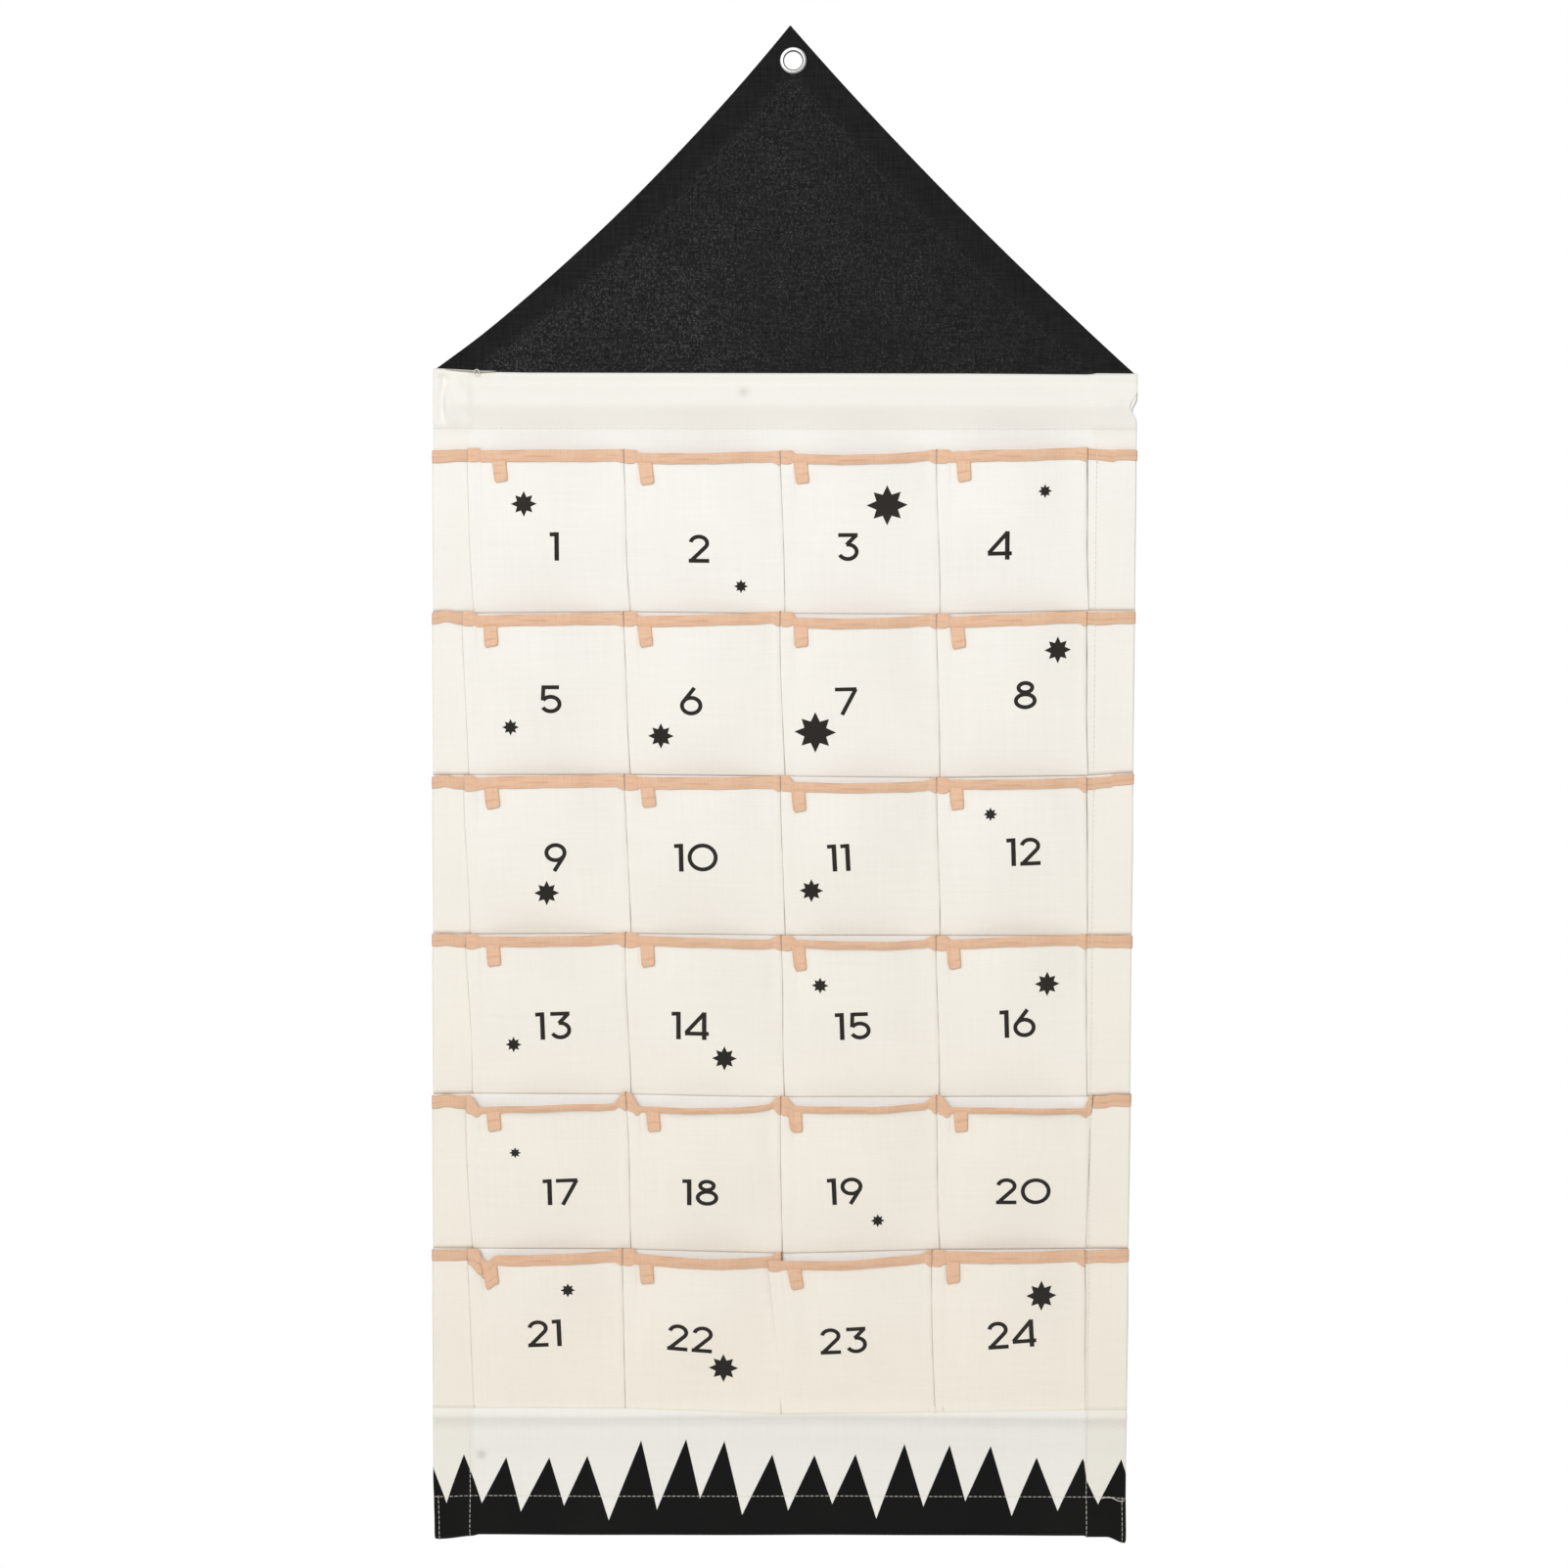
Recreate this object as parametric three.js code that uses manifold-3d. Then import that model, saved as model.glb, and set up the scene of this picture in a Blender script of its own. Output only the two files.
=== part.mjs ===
import * as THREE from 'three';
import { mergeVertices } from 'three/addons/utils/BufferGeometryUtils.js';
import Module from 'manifold-3d';

// A cloth wall hanging: a gable with an eyelet, over a panel with rows of pleated pockets.
// Millimetres. +Z is up and -Y faces the viewer. The origin is the middle of the eyelet.

const wasm = await Module();
wasm.setup();

// Cloth, tape and clearances
const canvas = 0.8; // one layer of canvas
const tape = 0.7; // one layer of binding tape
const gap = 0.3; // between pieces that touch
const overrun = 2; // how far a cutter passes what it cuts

// Gable
const gableHeight = 220;
const gableInset = 1.5; // from the panel's side to the gable's corner
const apexOffset = 2.8; // of the peak, to the right of the panel's middle
const leftBow = 9; // how far the slopes bow inwards
const rightBow = 5;
const gableHem = 23;
const foldTaper = 12; // degrees from the cloth's plane to its tapered edge at the fold

// Eyelet
const eyeletOffset = 4.7; // to the right of the panel's middle
const eyeletDrop = 22.5; // below the peak
const eyeletBore = 11.6;
const eyeletFlange = 17;
const eyeletMetal = 0.5;
const washerWidth = 17;

// Pocket panel
const columns = 4;
const rows = 6;
const pocketWidth = 100;
const lastPocketWidth = 96;
const leftMargin = 22;
const rightMargin = 32;
const rowPitch = 103;
const headerHeight = 50; // from the fold to the first row's mouths
const footerHeight = 83; // from the last row's seam to the bottom edge
const sideHem = 23;

// Rods and their casings
const topRodDiameter = 10;
const topRodDrop = 20; // from the fold to the rod's axis
const topCasingHeight = 31;
const topRodInset = 10; // from each side of the panel to the rod's end
const bottomRodDiameter = 8;
const bottomCasingHeight = 25;
const endTack = 4; // stitched shut at each end of the bottom casing
const bottomRodSlack = 22; // free length beside the rod
const bottomRodRestGap = 2.5; // from its right end to the stitching
const endSlit = 1; // opening left in the stitched ends

// Pockets
const mouthDepth = 8; // how far the middle of a mouth stands out
const mouthDroop = 3; // how far a mouth hangs down
const rowDroopShares = [0.8, 0.9, 1, 1, 2.2, 1.1];
const seamBand = 3; // stitched flat along the bottom
const seamSpacing = 1; // between a pocket's seam and the next binding
const pleatUnderlay = 14; // width of the cloth under each divider's pleat, sewn down at the mouth

// Binding tape and tabs
const bindingHeight = 8;
const tabWidth = 9.5;
const tabDrop = 12; // below the binding
const tabTuck = 2; // caught under the binding
const tabOffset = 14; // from the pocket's left edge to the tab's middle
const tabCorner = 2;

// Form of a pocket: places across its free width, with the depth and droop there, and places up its height
const acrossShares = [0, 0.12, 0.3, 0.5, 0.7, 0.88, 1];
const archShares = [0, 0.45, 0.85, 1, 0.85, 0.45, 0];
const droopShares = [0, 1, 1, 0.85, 0.6, 0.3, 0];
const riseShares = [0.2, 0.45, 0.7];

// Round pieces
const rodSides = 24;
const eyeletSides = 36;
const curveSteps = 10;

const panelWidth = leftMargin + (columns - 1) * pocketWidth + lastPocketWidth + rightMargin;
const panelHeight = headerHeight + rows * rowPitch + footerHeight;
const halfWidth = panelWidth / 2;
const halfCanvas = canvas / 2;
const foldDrop = gableHeight - eyeletDrop;
const barrelRadius = eyeletBore / 2 + eyeletMetal;

const blackCanvas = new THREE.MeshStandardMaterial({ color: 0x262526, roughness: 0.95, metalness: 0 });
const creamCanvas = new THREE.MeshStandardMaterial({ color: 0xf4f3ee, roughness: 0.95, metalness: 0 });
const peachTape = new THREE.MeshStandardMaterial({ color: 0xecc09c, roughness: 0.9, metalness: 0 });
const steel = new THREE.MeshStandardMaterial({ color: 0xc4c6c8, roughness: 0.3, metalness: 1 });
const wood = new THREE.MeshStandardMaterial({ color: 0xd2b183, roughness: 0.7, metalness: 0 });

// Turns a closed mesh into a solid that can be cut and joined.
function solidOf(geometry) {
  const bare = geometry.clone();
  bare.deleteAttribute('normal');
  bare.deleteAttribute('uv');
  const merged = mergeVertices(bare);
  const mesh = new wasm.Mesh({
    numProp: 3,
    vertProperties: new Float32Array(merged.attributes.position.array),
    triVerts: new Uint32Array(merged.index.array),
  });
  return new wasm.Manifold(mesh);
}

function geometryOf(solid) {
  const mesh = solid.getMesh();
  const geometry = new THREE.BufferGeometry();
  geometry.setAttribute('position', new THREE.BufferAttribute(mesh.vertProperties, 3));
  geometry.setIndex(new THREE.BufferAttribute(mesh.triVerts, 1));
  geometry.computeVertexNormals();
  return geometry;
}

// A closed body from flat faces, each a ring of points seen anticlockwise from outside.
function bodyOf(faces) {
  const positions = [];
  for (const face of faces) {
    for (let i = 1; i < face.length - 1; i += 1) {
      positions.push(...face[0].toArray(), ...face[i].toArray(), ...face[i + 1].toArray());
    }
  }
  const geometry = new THREE.BufferGeometry();
  geometry.setAttribute('position', new THREE.Float32BufferAttribute(positions, 3));
  const merged = mergeVertices(geometry);
  merged.computeVertexNormals();
  return merged;
}

// A flat piece of cloth: an outline seen from the front, from frontY backwards.
function sheet(shape, frontY, thickness) {
  return new THREE.ExtrudeGeometry(shape, { depth: thickness, bevelEnabled: false, curveSegments: curveSteps })
    .rotateX(Math.PI / 2)
    .translate(0, frontY + thickness, 0);
}

// A profile of Y and Z, run along X from startX.
function run(shape, startX, length) {
  const alongX = new THREE.Matrix4().makeBasis(
    new THREE.Vector3(0, 1, 0),
    new THREE.Vector3(0, 0, 1),
    new THREE.Vector3(1, 0, 0),
  );
  return new THREE.ExtrudeGeometry(shape, { depth: length, bevelEnabled: false, curveSegments: curveSteps })
    .applyMatrix4(alongX)
    .translate(startX, 0, 0);
}

function rectangle(left, bottom, right, top) {
  return new THREE.Shape([
    new THREE.Vector2(left, bottom),
    new THREE.Vector2(right, bottom),
    new THREE.Vector2(right, top),
    new THREE.Vector2(left, top),
  ]);
}

// The section of cloth drawn over a rod: a circle with straight sides up to one tip, and down to another or none.
function casingSection(centreZ, radius, up, down) {
  const upper = Math.PI / 2 - Math.acos(radius / up);
  const lower = down > radius ? Math.acos(radius / down) - Math.PI / 2 : -Math.PI / 2;
  const shape = new THREE.Shape();
  shape.moveTo(0, centreZ + up);
  shape.lineTo(-radius * Math.cos(upper), centreZ + radius * Math.sin(upper));
  shape.absarc(0, centreZ, radius, Math.PI - upper, Math.PI - lower, false);
  if (down > radius) shape.lineTo(0, centreZ - down);
  shape.absarc(0, centreZ, radius, lower, upper, false);
  shape.closePath();
  return shape;
}

// Gable

function gableShape(lowered) {
  const apex = new THREE.Vector2(apexOffset, gableHeight - lowered);
  const shape = new THREE.Shape();
  const bottom = gap / 2 - lowered;
  const left = new THREE.Vector2(gableInset - halfWidth, bottom);
  const right = new THREE.Vector2(halfWidth - gableInset, bottom);
  const bowed = (from, to, bow) => {
    const inward = new THREE.Vector2(to.y - from.y, from.x - to.x).normalize();
    return from.clone().add(to).multiplyScalar(1 / 2).addScaledVector(inward, 2 * bow);
  };
  const rightMiddle = bowed(apex, right, rightBow);
  const leftMiddle = bowed(left, apex, leftBow);
  shape.moveTo(left.x, left.y);
  shape.lineTo(right.x, right.y);
  shape.quadraticCurveTo(rightMiddle.x, rightMiddle.y, apex.x, apex.y);
  shape.quadraticCurveTo(leftMiddle.x, leftMiddle.y, left.x, left.y);
  return shape;
}

// Both faces taper to the fold, so that the gable can swing over the panel.
function foldCutter() {
  const reach = 2 * canvas + overrun;
  const rise = reach / Math.tan(THREE.MathUtils.degToRad(foldTaper));
  const shape = new THREE.Shape([
    new THREE.Vector2(-reach, -overrun),
    new THREE.Vector2(reach, -overrun),
    new THREE.Vector2(reach, gap / 2 + rise),
    new THREE.Vector2(0, gap / 2),
    new THREE.Vector2(-reach, gap / 2 + rise),
  ]);
  return solidOf(run(shape, -halfWidth - overrun, panelWidth + 2 * overrun));
}

function gablePanel() {
  const slope = Math.atan2(gableHeight, halfWidth);
  const hemDrop = gableHem / Math.cos(slope);
  const face = solidOf(sheet(gableShape(0), -halfCanvas, canvas));
  const hem = solidOf(sheet(gableShape(0), 0, halfCanvas + canvas))
    .subtract(solidOf(sheet(gableShape(hemDrop), -overrun, 2 * overrun + 2 * canvas)));
  const hole = new THREE.CylinderGeometry(barrelRadius + gap, barrelRadius + gap, 4 * canvas, eyeletSides)
    .translate(eyeletOffset, 0, foldDrop);
  return geometryOf(face.add(hem).subtract(foldCutter()).subtract(solidOf(hole)));
}

// Eyelet: a spool of sheet metal through the hemmed peak, and a washer behind it

const clothFront = -halfCanvas - gap;
const clothBack = halfCanvas + canvas + gap;
const washerBack = clothBack + eyeletMetal;
const curlRadius = barrelRadius + (washerWidth / 2 - barrelRadius) / 2;

function eyeletGrommet() {
  const front = clothFront - eyeletMetal;
  const back = washerBack + gap;
  const bore = eyeletBore / 2;
  const crest = (bore + eyeletFlange / 2) / 2;
  const profile = [
    [bore, front + eyeletMetal / 2],
    [bore + eyeletMetal / 2, front - eyeletMetal / 2],
    [crest, front - eyeletMetal],
    [eyeletFlange / 2 - eyeletMetal / 2, front - eyeletMetal / 2],
    [eyeletFlange / 2, clothFront - eyeletMetal / 2],
    [eyeletFlange / 2, clothFront],
    [barrelRadius, clothFront],
    [barrelRadius, back],
    [curlRadius, back],
    [curlRadius, back + eyeletMetal / 2],
    [barrelRadius, back + eyeletMetal],
    [bore, back + eyeletMetal / 2],
    [bore, front + eyeletMetal / 2],
  ].map(([radius, y]) => new THREE.Vector2(radius, y));
  return new THREE.LatheGeometry(profile, eyeletSides);
}

function eyeletWasher() {
  const inner = barrelRadius + gap;
  const profile = [
    [inner, clothBack],
    [washerWidth / 2, clothBack],
    [washerWidth / 2, washerBack],
    [inner, washerBack],
    [inner, clothBack],
  ].map(([radius, y]) => new THREE.Vector2(radius, y));
  return new THREE.LatheGeometry(profile, eyeletSides);
}

// Backing panel: a sheet with side hems, and a casing for a rod at each end

const topCasingRadius = topRodDiameter / 2 + gap + canvas;
const bottomCasingRadius = bottomRodDiameter / 2 + gap + canvas;
const bottomRodZ = bottomCasingRadius - panelHeight;
const bottomRodLength = panelWidth - 2 * endTack - bottomRodSlack;

// The casing's outside, or its tunnel, which is the same form one canvas smaller all round.
function topCasing(share, startX, length) {
  const up = topRodDrop - gap / 2;
  const down = topCasingHeight - topRodDrop;
  const section = casingSection(-topRodDrop, topCasingRadius * share, up * share, down * share);
  return solidOf(run(section, startX, length));
}

function bottomCasing(share, startX, length) {
  const up = bottomCasingHeight - bottomCasingRadius;
  const section = casingSection(bottomRodZ, bottomCasingRadius * share, up * share, 0);
  return solidOf(run(section, startX, length));
}

function sideHemLayer(left) {
  const outline = rectangle(left, bottomCasingHeight - panelHeight, left + sideHem, -topCasingHeight);
  return solidOf(sheet(outline, 0, halfCanvas + canvas));
}

function backingPanel() {
  const through = panelWidth + 2 * overrun;
  const face = solidOf(sheet(rectangle(-halfWidth, bottomRodZ, halfWidth, -topRodDrop), -halfCanvas, canvas));
  const slit = rectangle(-endSlit / 2, bottomRodZ - canvas, endSlit / 2, bottomRodZ + canvas);
  const topTunnelShare = (topCasingRadius - canvas) / topCasingRadius;
  const bottomTunnelShare = (bottomCasingRadius - canvas) / bottomCasingRadius;
  return geometryOf(face
    .add(topCasing(1, -halfWidth, panelWidth))
    .add(bottomCasing(1, -halfWidth, panelWidth))
    .add(sideHemLayer(-halfWidth))
    .add(sideHemLayer(halfWidth - sideHem))
    .subtract(topCasing(topTunnelShare, -halfWidth - overrun, through))
    .subtract(bottomCasing(bottomTunnelShare, endTack - halfWidth, panelWidth - 2 * endTack))
    .subtract(solidOf(run(slit, -halfWidth - overrun, through))));
}

function rod(diameter, length, x, z) {
  return new THREE.CylinderGeometry(diameter / 2, diameter / 2, length, rodSides)
    .rotateZ(Math.PI / 2)
    .translate(x, 0, z);
}

// Pocket strips: each row's margins, the cloth under its pleats and its seam, flat on the backing

const stripFront = -halfCanvas - gap - canvas;
const pocketBack = stripFront - gap;
const pocketHeight = rowPitch - seamSpacing - gap - tape;

const dividers = [];
for (let column = 0; column < columns; column += 1) {
  dividers.push(leftMargin - halfWidth + column * pocketWidth);
}
dividers.push(halfWidth - rightMargin);

function seamHeight(row) {
  return seamSpacing - headerHeight - (row + 1) * rowPitch;
}

function pocketStrip(row) {
  const bottom = seamHeight(row);
  const top = bottom + pocketHeight;
  const points = [new THREE.Vector2(-halfWidth, bottom), new THREE.Vector2(halfWidth, bottom)];
  const tooth = (left, right) => {
    points.push(new THREE.Vector2(right, top), new THREE.Vector2(left, top));
  };
  const valley = (right, left) => {
    points.push(new THREE.Vector2(right, bottom + seamBand), new THREE.Vector2(left, bottom + seamBand));
  };
  for (let i = columns; i >= 0; i -= 1) {
    const left = i > 0 ? dividers[i] - pleatUnderlay / 2 : -halfWidth;
    const right = i < columns ? dividers[i] + pleatUnderlay / 2 : halfWidth;
    tooth(left, right);
    if (i > 0) valley(left, dividers[i - 1] + pleatUnderlay / 2);
  }
  return sheet(new THREE.Shape(points), stripFront, canvas);
}

// Pocket fronts: canvas that bulges between the pleats, open at the top

const bindingBottomShare = 1 - bindingHeight / pocketHeight;
const tapeRoom = tape + gap; // behind the face at its sides, for the back of the binding

function pocketAt(row, column) {
  const left = dividers[column] + gap / 2;
  const right = dividers[column + 1] - gap / 2;
  const free = right - left - pleatUnderlay;
  const stations = acrossShares.map((share, i) => ({
    x: left + pleatUnderlay / 2 + share * free,
    arch: archShares[i],
    droop: droopShares[i],
  }));
  return {
    left,
    right,
    stations: [{ x: left, arch: 0, droop: 0 }, ...stations, { x: right, arch: 0, droop: 0 }],
    seam: seamHeight(row),
    droop: mouthDroop * rowDroopShares[row % rowDroopShares.length],
  };
}

// The station at any X, on the straight line between the two beside it.
function stationAt(pocket, x) {
  const after = pocket.stations.findIndex((station, i) => i > 0 && station.x >= x);
  const [a, b] = [pocket.stations[after - 1], pocket.stations[after]];
  const part = (x - a.x) / (b.x - a.x);
  return {
    x,
    arch: THREE.MathUtils.lerp(a.arch, b.arch, part),
    droop: THREE.MathUtils.lerp(a.droop, b.droop, part),
  };
}

// A point on the outside of a pocket's face, at a share of its height.
function facePoint(pocket, station, rise) {
  const above = Math.max(0, rise * pocketHeight - seamBand);
  const lift = tapeRoom * Math.min(1, above / (bindingBottomShare * pocketHeight - seamBand));
  const bulge = mouthDepth * Math.sin((above / (pocketHeight - seamBand)) * Math.PI / 2);
  return new THREE.Vector3(
    station.x,
    pocketBack - canvas - lift - bulge * station.arch,
    pocket.seam + rise * (pocketHeight - pocket.droop * station.droop),
  );
}

function pocketFront(pocket) {
  const rises = [0, seamBand / pocketHeight, ...riseShares, bindingBottomShare, 1];
  const outer = rises.map((rise) => pocket.stations.map((station) => facePoint(pocket, station, rise)));
  const inner = outer.map((line) => line.map((point) => point.clone().setY(point.y + canvas)));
  const faces = [];
  const last = pocket.stations.length - 1;
  const top = rises.length - 1;
  for (let k = 0; k < last; k += 1) {
    for (let j = 0; j < top; j += 1) {
      faces.push([outer[j][k], outer[j][k + 1], outer[j + 1][k + 1], outer[j + 1][k]]);
      faces.push([inner[j][k + 1], inner[j][k], inner[j + 1][k], inner[j + 1][k + 1]]);
    }
    faces.push([outer[top][k], outer[top][k + 1], inner[top][k + 1], inner[top][k]]);
    faces.push([outer[0][k + 1], outer[0][k], inner[0][k], inner[0][k + 1]]);
  }
  for (let j = 0; j < top; j += 1) {
    faces.push([outer[j][0], outer[j + 1][0], inner[j + 1][0], inner[j][0]]);
    faces.push([inner[j][last], inner[j + 1][last], outer[j + 1][last], outer[j][last]]);
  }
  return bodyOf(faces);
}

// Binding: a tape folded over the pocket's mouth, with a folded tab below it

function bindingSection(pocket, station) {
  const top = facePoint(pocket, station, 1);
  const low = facePoint(pocket, station, bindingBottomShare);
  const point = (from, outwards, up) => new THREE.Vector3(from.x, from.y + outwards, from.z + up);
  const front = -gap - tape;
  const back = canvas + gap + tape;
  return [
    point(low, front, 0),
    point(low, -gap, 0),
    point(top, -gap, gap),
    point(top, canvas + gap, gap),
    point(low, canvas + gap, 0),
    point(low, back, 0),
    point(top, back, gap + tape),
    point(top, front, gap + tape),
  ];
}

// Joins sections with equal numbers of points into a closed body, along X.
function bindingRun(sections) {
  const faces = [];
  const count = sections[0].length;
  for (let i = 0; i < sections.length - 1; i += 1) {
    for (let k = 0; k < count; k += 1) {
      const next = (k + 1) % count;
      faces.push([sections[i][k], sections[i][next], sections[i + 1][next], sections[i + 1][k]]);
    }
  }
  const ends = [sections[0], sections[sections.length - 1]];
  const flat = ends[0].map((point) => new THREE.Vector2(point.y, point.z));
  for (const [a, b, c] of THREE.ShapeUtils.triangulateShape(flat, [])) {
    faces.push([ends[0][a], ends[0][c], ends[0][b]]);
    faces.push([ends[1][a], ends[1][b], ends[1][c]]);
  }
  return bodyOf(faces);
}

function tabShape(left, right, bottom, top) {
  const shape = new THREE.Shape();
  shape.moveTo(left, top);
  shape.lineTo(left, bottom + tabCorner);
  shape.lineTo(left + tabCorner / 2, bottom);
  shape.lineTo(right - tabCorner / 2, bottom);
  shape.lineTo(right, bottom + tabCorner);
  shape.lineTo(right, top);
  shape.closePath();
  return shape;
}

function bindingTape(pocket) {
  const band = solidOf(bindingRun(pocket.stations.map((station) => bindingSection(pocket, station))));
  const middle = pocket.left + tabOffset;
  const sides = [middle - tabWidth / 2, middle + tabWidth / 2];
  const corners = sides.map((x) => facePoint(pocket, stationAt(pocket, x), 1));
  const back = Math.min(...corners.map((point) => point.y)) - gap;
  const bandLow = Math.min(...corners.map((point) => point.z)) - bindingHeight;
  const shape = tabShape(sides[0], sides[1], bandLow - tabDrop, bandLow + tabTuck);
  return geometryOf(band.add(solidOf(sheet(shape, back - 2 * tape, 2 * tape))));
}

// Assembly

const hanging = new THREE.Group();
const body = new THREE.Group();
body.position.set(-eyeletOffset, 0, -foldDrop);
hanging.add(body);

function place(name, geometry, material, group) {
  const mesh = new THREE.Mesh(geometry, material);
  mesh.name = name;
  group.add(mesh);
}

place('eyelet_grommet', eyeletGrommet(), steel, hanging);
place('eyelet_washer', eyeletWasher(), steel, hanging);
place('gable_panel', gablePanel(), blackCanvas, body);
place('backing_panel', backingPanel(), creamCanvas, body);
place('top_rod', rod(topRodDiameter, panelWidth - 2 * topRodInset, 0, -topRodDrop), wood, body);

const bottomRodX = halfWidth - endTack - bottomRodRestGap - bottomRodLength / 2;
place('bottom_rod', rod(bottomRodDiameter, bottomRodLength, bottomRodX, bottomRodZ), wood, body);

for (let row = 0; row < rows; row += 1) {
  place(`pocket_strip_${row + 1}`, pocketStrip(row), creamCanvas, body);
  for (let column = 0; column < columns; column += 1) {
    const number = String(row * columns + column + 1).padStart(2, '0');
    const pocket = pocketAt(row, column);
    place(`pocket_front_${number}`, pocketFront(pocket), creamCanvas, body);
    place(`binding_tape_${number}`, bindingTape(pocket), peachTape, body);
  }
}

export default hanging;
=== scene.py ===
import math
from contextlib import contextmanager

import bmesh
import bpy
import numpy as np
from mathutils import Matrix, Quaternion, Vector


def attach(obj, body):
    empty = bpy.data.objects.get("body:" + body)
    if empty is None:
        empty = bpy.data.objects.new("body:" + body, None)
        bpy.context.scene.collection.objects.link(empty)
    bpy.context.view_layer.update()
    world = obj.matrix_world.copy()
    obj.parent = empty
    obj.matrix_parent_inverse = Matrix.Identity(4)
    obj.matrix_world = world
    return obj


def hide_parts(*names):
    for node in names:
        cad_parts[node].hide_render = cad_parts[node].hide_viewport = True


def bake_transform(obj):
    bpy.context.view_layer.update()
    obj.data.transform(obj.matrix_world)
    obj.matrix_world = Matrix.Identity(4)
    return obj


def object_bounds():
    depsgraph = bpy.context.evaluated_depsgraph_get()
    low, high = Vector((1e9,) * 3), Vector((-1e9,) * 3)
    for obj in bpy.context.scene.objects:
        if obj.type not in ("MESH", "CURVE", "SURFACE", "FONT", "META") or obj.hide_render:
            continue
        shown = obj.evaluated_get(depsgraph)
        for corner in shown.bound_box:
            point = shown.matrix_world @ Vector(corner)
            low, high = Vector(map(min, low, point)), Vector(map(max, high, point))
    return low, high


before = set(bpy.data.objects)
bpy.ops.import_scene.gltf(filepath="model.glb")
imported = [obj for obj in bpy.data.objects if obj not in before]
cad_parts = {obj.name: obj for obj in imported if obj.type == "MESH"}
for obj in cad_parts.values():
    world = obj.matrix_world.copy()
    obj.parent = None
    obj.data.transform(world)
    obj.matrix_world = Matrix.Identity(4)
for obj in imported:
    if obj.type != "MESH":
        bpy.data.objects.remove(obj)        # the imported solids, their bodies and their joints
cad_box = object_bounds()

# Camera and room
# The hanging is seen from the front and a little from above, 2.5 m away. The room is plain: white all
# round, a pale floor well below, and two broad soft lamps in front, so that colours look as written.

mm = 0.001


def put(tree, kind, *wired, out=0, **settings):
    """Adds a node; what is wired goes into its inputs in order, as a link or as a plain value."""
    node = tree.nodes.new(kind)
    for name, value in settings.items():
        setattr(node, name, value)
    for socket, value in zip(node.inputs, wired):
        if isinstance(value, bpy.types.NodeSocket):
            tree.links.new(value, socket)
        elif value is not None:
            socket.default_value = value
    return node.outputs[out]


def maths(tree, operation, *wired):
    return put(tree, "ShaderNodeMath", *wired, operation=operation)


def paint(red, green, blue):
    """A colour as it looks on a screen, 0 to 255, turned into the light it stands for."""
    return tuple(
        ((c / 255 + 0.055) / 1.055) ** 2.4 if c > 10 else c / 3295
        for c in (red, green, blue)) + (1,)


def add_object(name, data):
    added = bpy.data.objects.new(name, data)
    bpy.context.scene.collection.objects.link(added)
    return added


camera_distance = 2500 * mm
camera_angle = math.radians(2.88)
camera_roll = math.radians(0.085)
camera_aim = Vector((-5.2, 0, -460.9)) * mm

camera = add_object("camera", bpy.data.cameras.new("camera"))
camera.data.sensor_width = 36
camera.data.lens = 89.36
back_from_aim = Vector((0, -math.cos(camera_angle), math.sin(camera_angle)))
camera.location = camera_aim + camera_distance * back_from_aim
camera.rotation_mode = "QUATERNION"
camera.rotation_quaternion = (-back_from_aim).to_track_quat("-Z", "Y") @ Quaternion((0, 0, 1), camera_roll)
bpy.context.scene.camera = camera
bpy.context.scene.view_settings.view_transform = "Standard"


def seen_directly(tree):
    """1 for what the camera, a mirror or glass sees, and 0 for the light on the object."""
    rays = tree.nodes.new("ShaderNodeLightPath").outputs
    seen = maths(tree, "MAXIMUM", rays["Is Camera Ray"], rays["Is Glossy Ray"])
    return maths(tree, "MAXIMUM", seen, rays["Is Transmission Ray"])


world = bpy.data.worlds.new("white_room")
bpy.context.scene.world = world
world.use_nodes = True
world.node_tree.nodes.clear()
room_light = put(world.node_tree, "ShaderNodeBackground", (1, 0.98, 0.945, 1), 0.515)
white_wall = put(world.node_tree, "ShaderNodeBackground", (1, 1, 1, 1), 1.0)
room = put(world.node_tree, "ShaderNodeMixShader", seen_directly(world.node_tree), room_light, white_wall)
world_output = world.node_tree.nodes.new("ShaderNodeOutputWorld")
world.node_tree.links.new(room, world_output.inputs["Surface"])

floor_drop = 350 * mm
floor_half = 1.25
floor_share_of_white = 0.9
floor_finish = bpy.data.materials.new("pale_floor")
floor_finish.use_nodes = True
tree = floor_finish.node_tree
tree.nodes.clear()
matt = put(tree, "ShaderNodeBsdfDiffuse", paint(245, 245, 244))
glow = put(tree, "ShaderNodeEmission", (1, 1, 1, 1), 1.0)
share = maths(tree, "MULTIPLY", seen_directly(tree), floor_share_of_white)
floor_output = tree.nodes.new("ShaderNodeOutputMaterial")
tree.links.new(put(tree, "ShaderNodeMixShader", share, matt, glow), floor_output.inputs["Surface"])
floor_mesh = bpy.data.meshes.new("floor")
floor_z = cad_box[0].z - floor_drop
corners = [(-1, -1), (1, -1), (1, 1), (-1, 1)]
floor_mesh.from_pydata([(x * floor_half, y * floor_half, floor_z) for x, y in corners], [], [(0, 1, 2, 3)])
floor_mesh.materials.append(floor_finish)
floor = add_object("floor", floor_mesh)

for lamp_name, place, power, size, tint in [
    ("key_lamp", (-1.1, -4.1, 1.15), 110, 2.6, (1.0, 1.0, 1.0)),
    ("fill_lamp", (1.5, -2.2, -0.6), 2, 1.8, (1.0, 0.94, 0.86)),
]:
    lamp = add_object(lamp_name, bpy.data.lights.new(lamp_name, "AREA"))
    lamp.data.energy = power
    lamp.data.size = size
    lamp.data.color = tint
    lamp.location = place
    lamp.rotation_euler = (camera_aim - Vector(place)).to_track_quat("-Z", "Y").to_euler()

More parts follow.
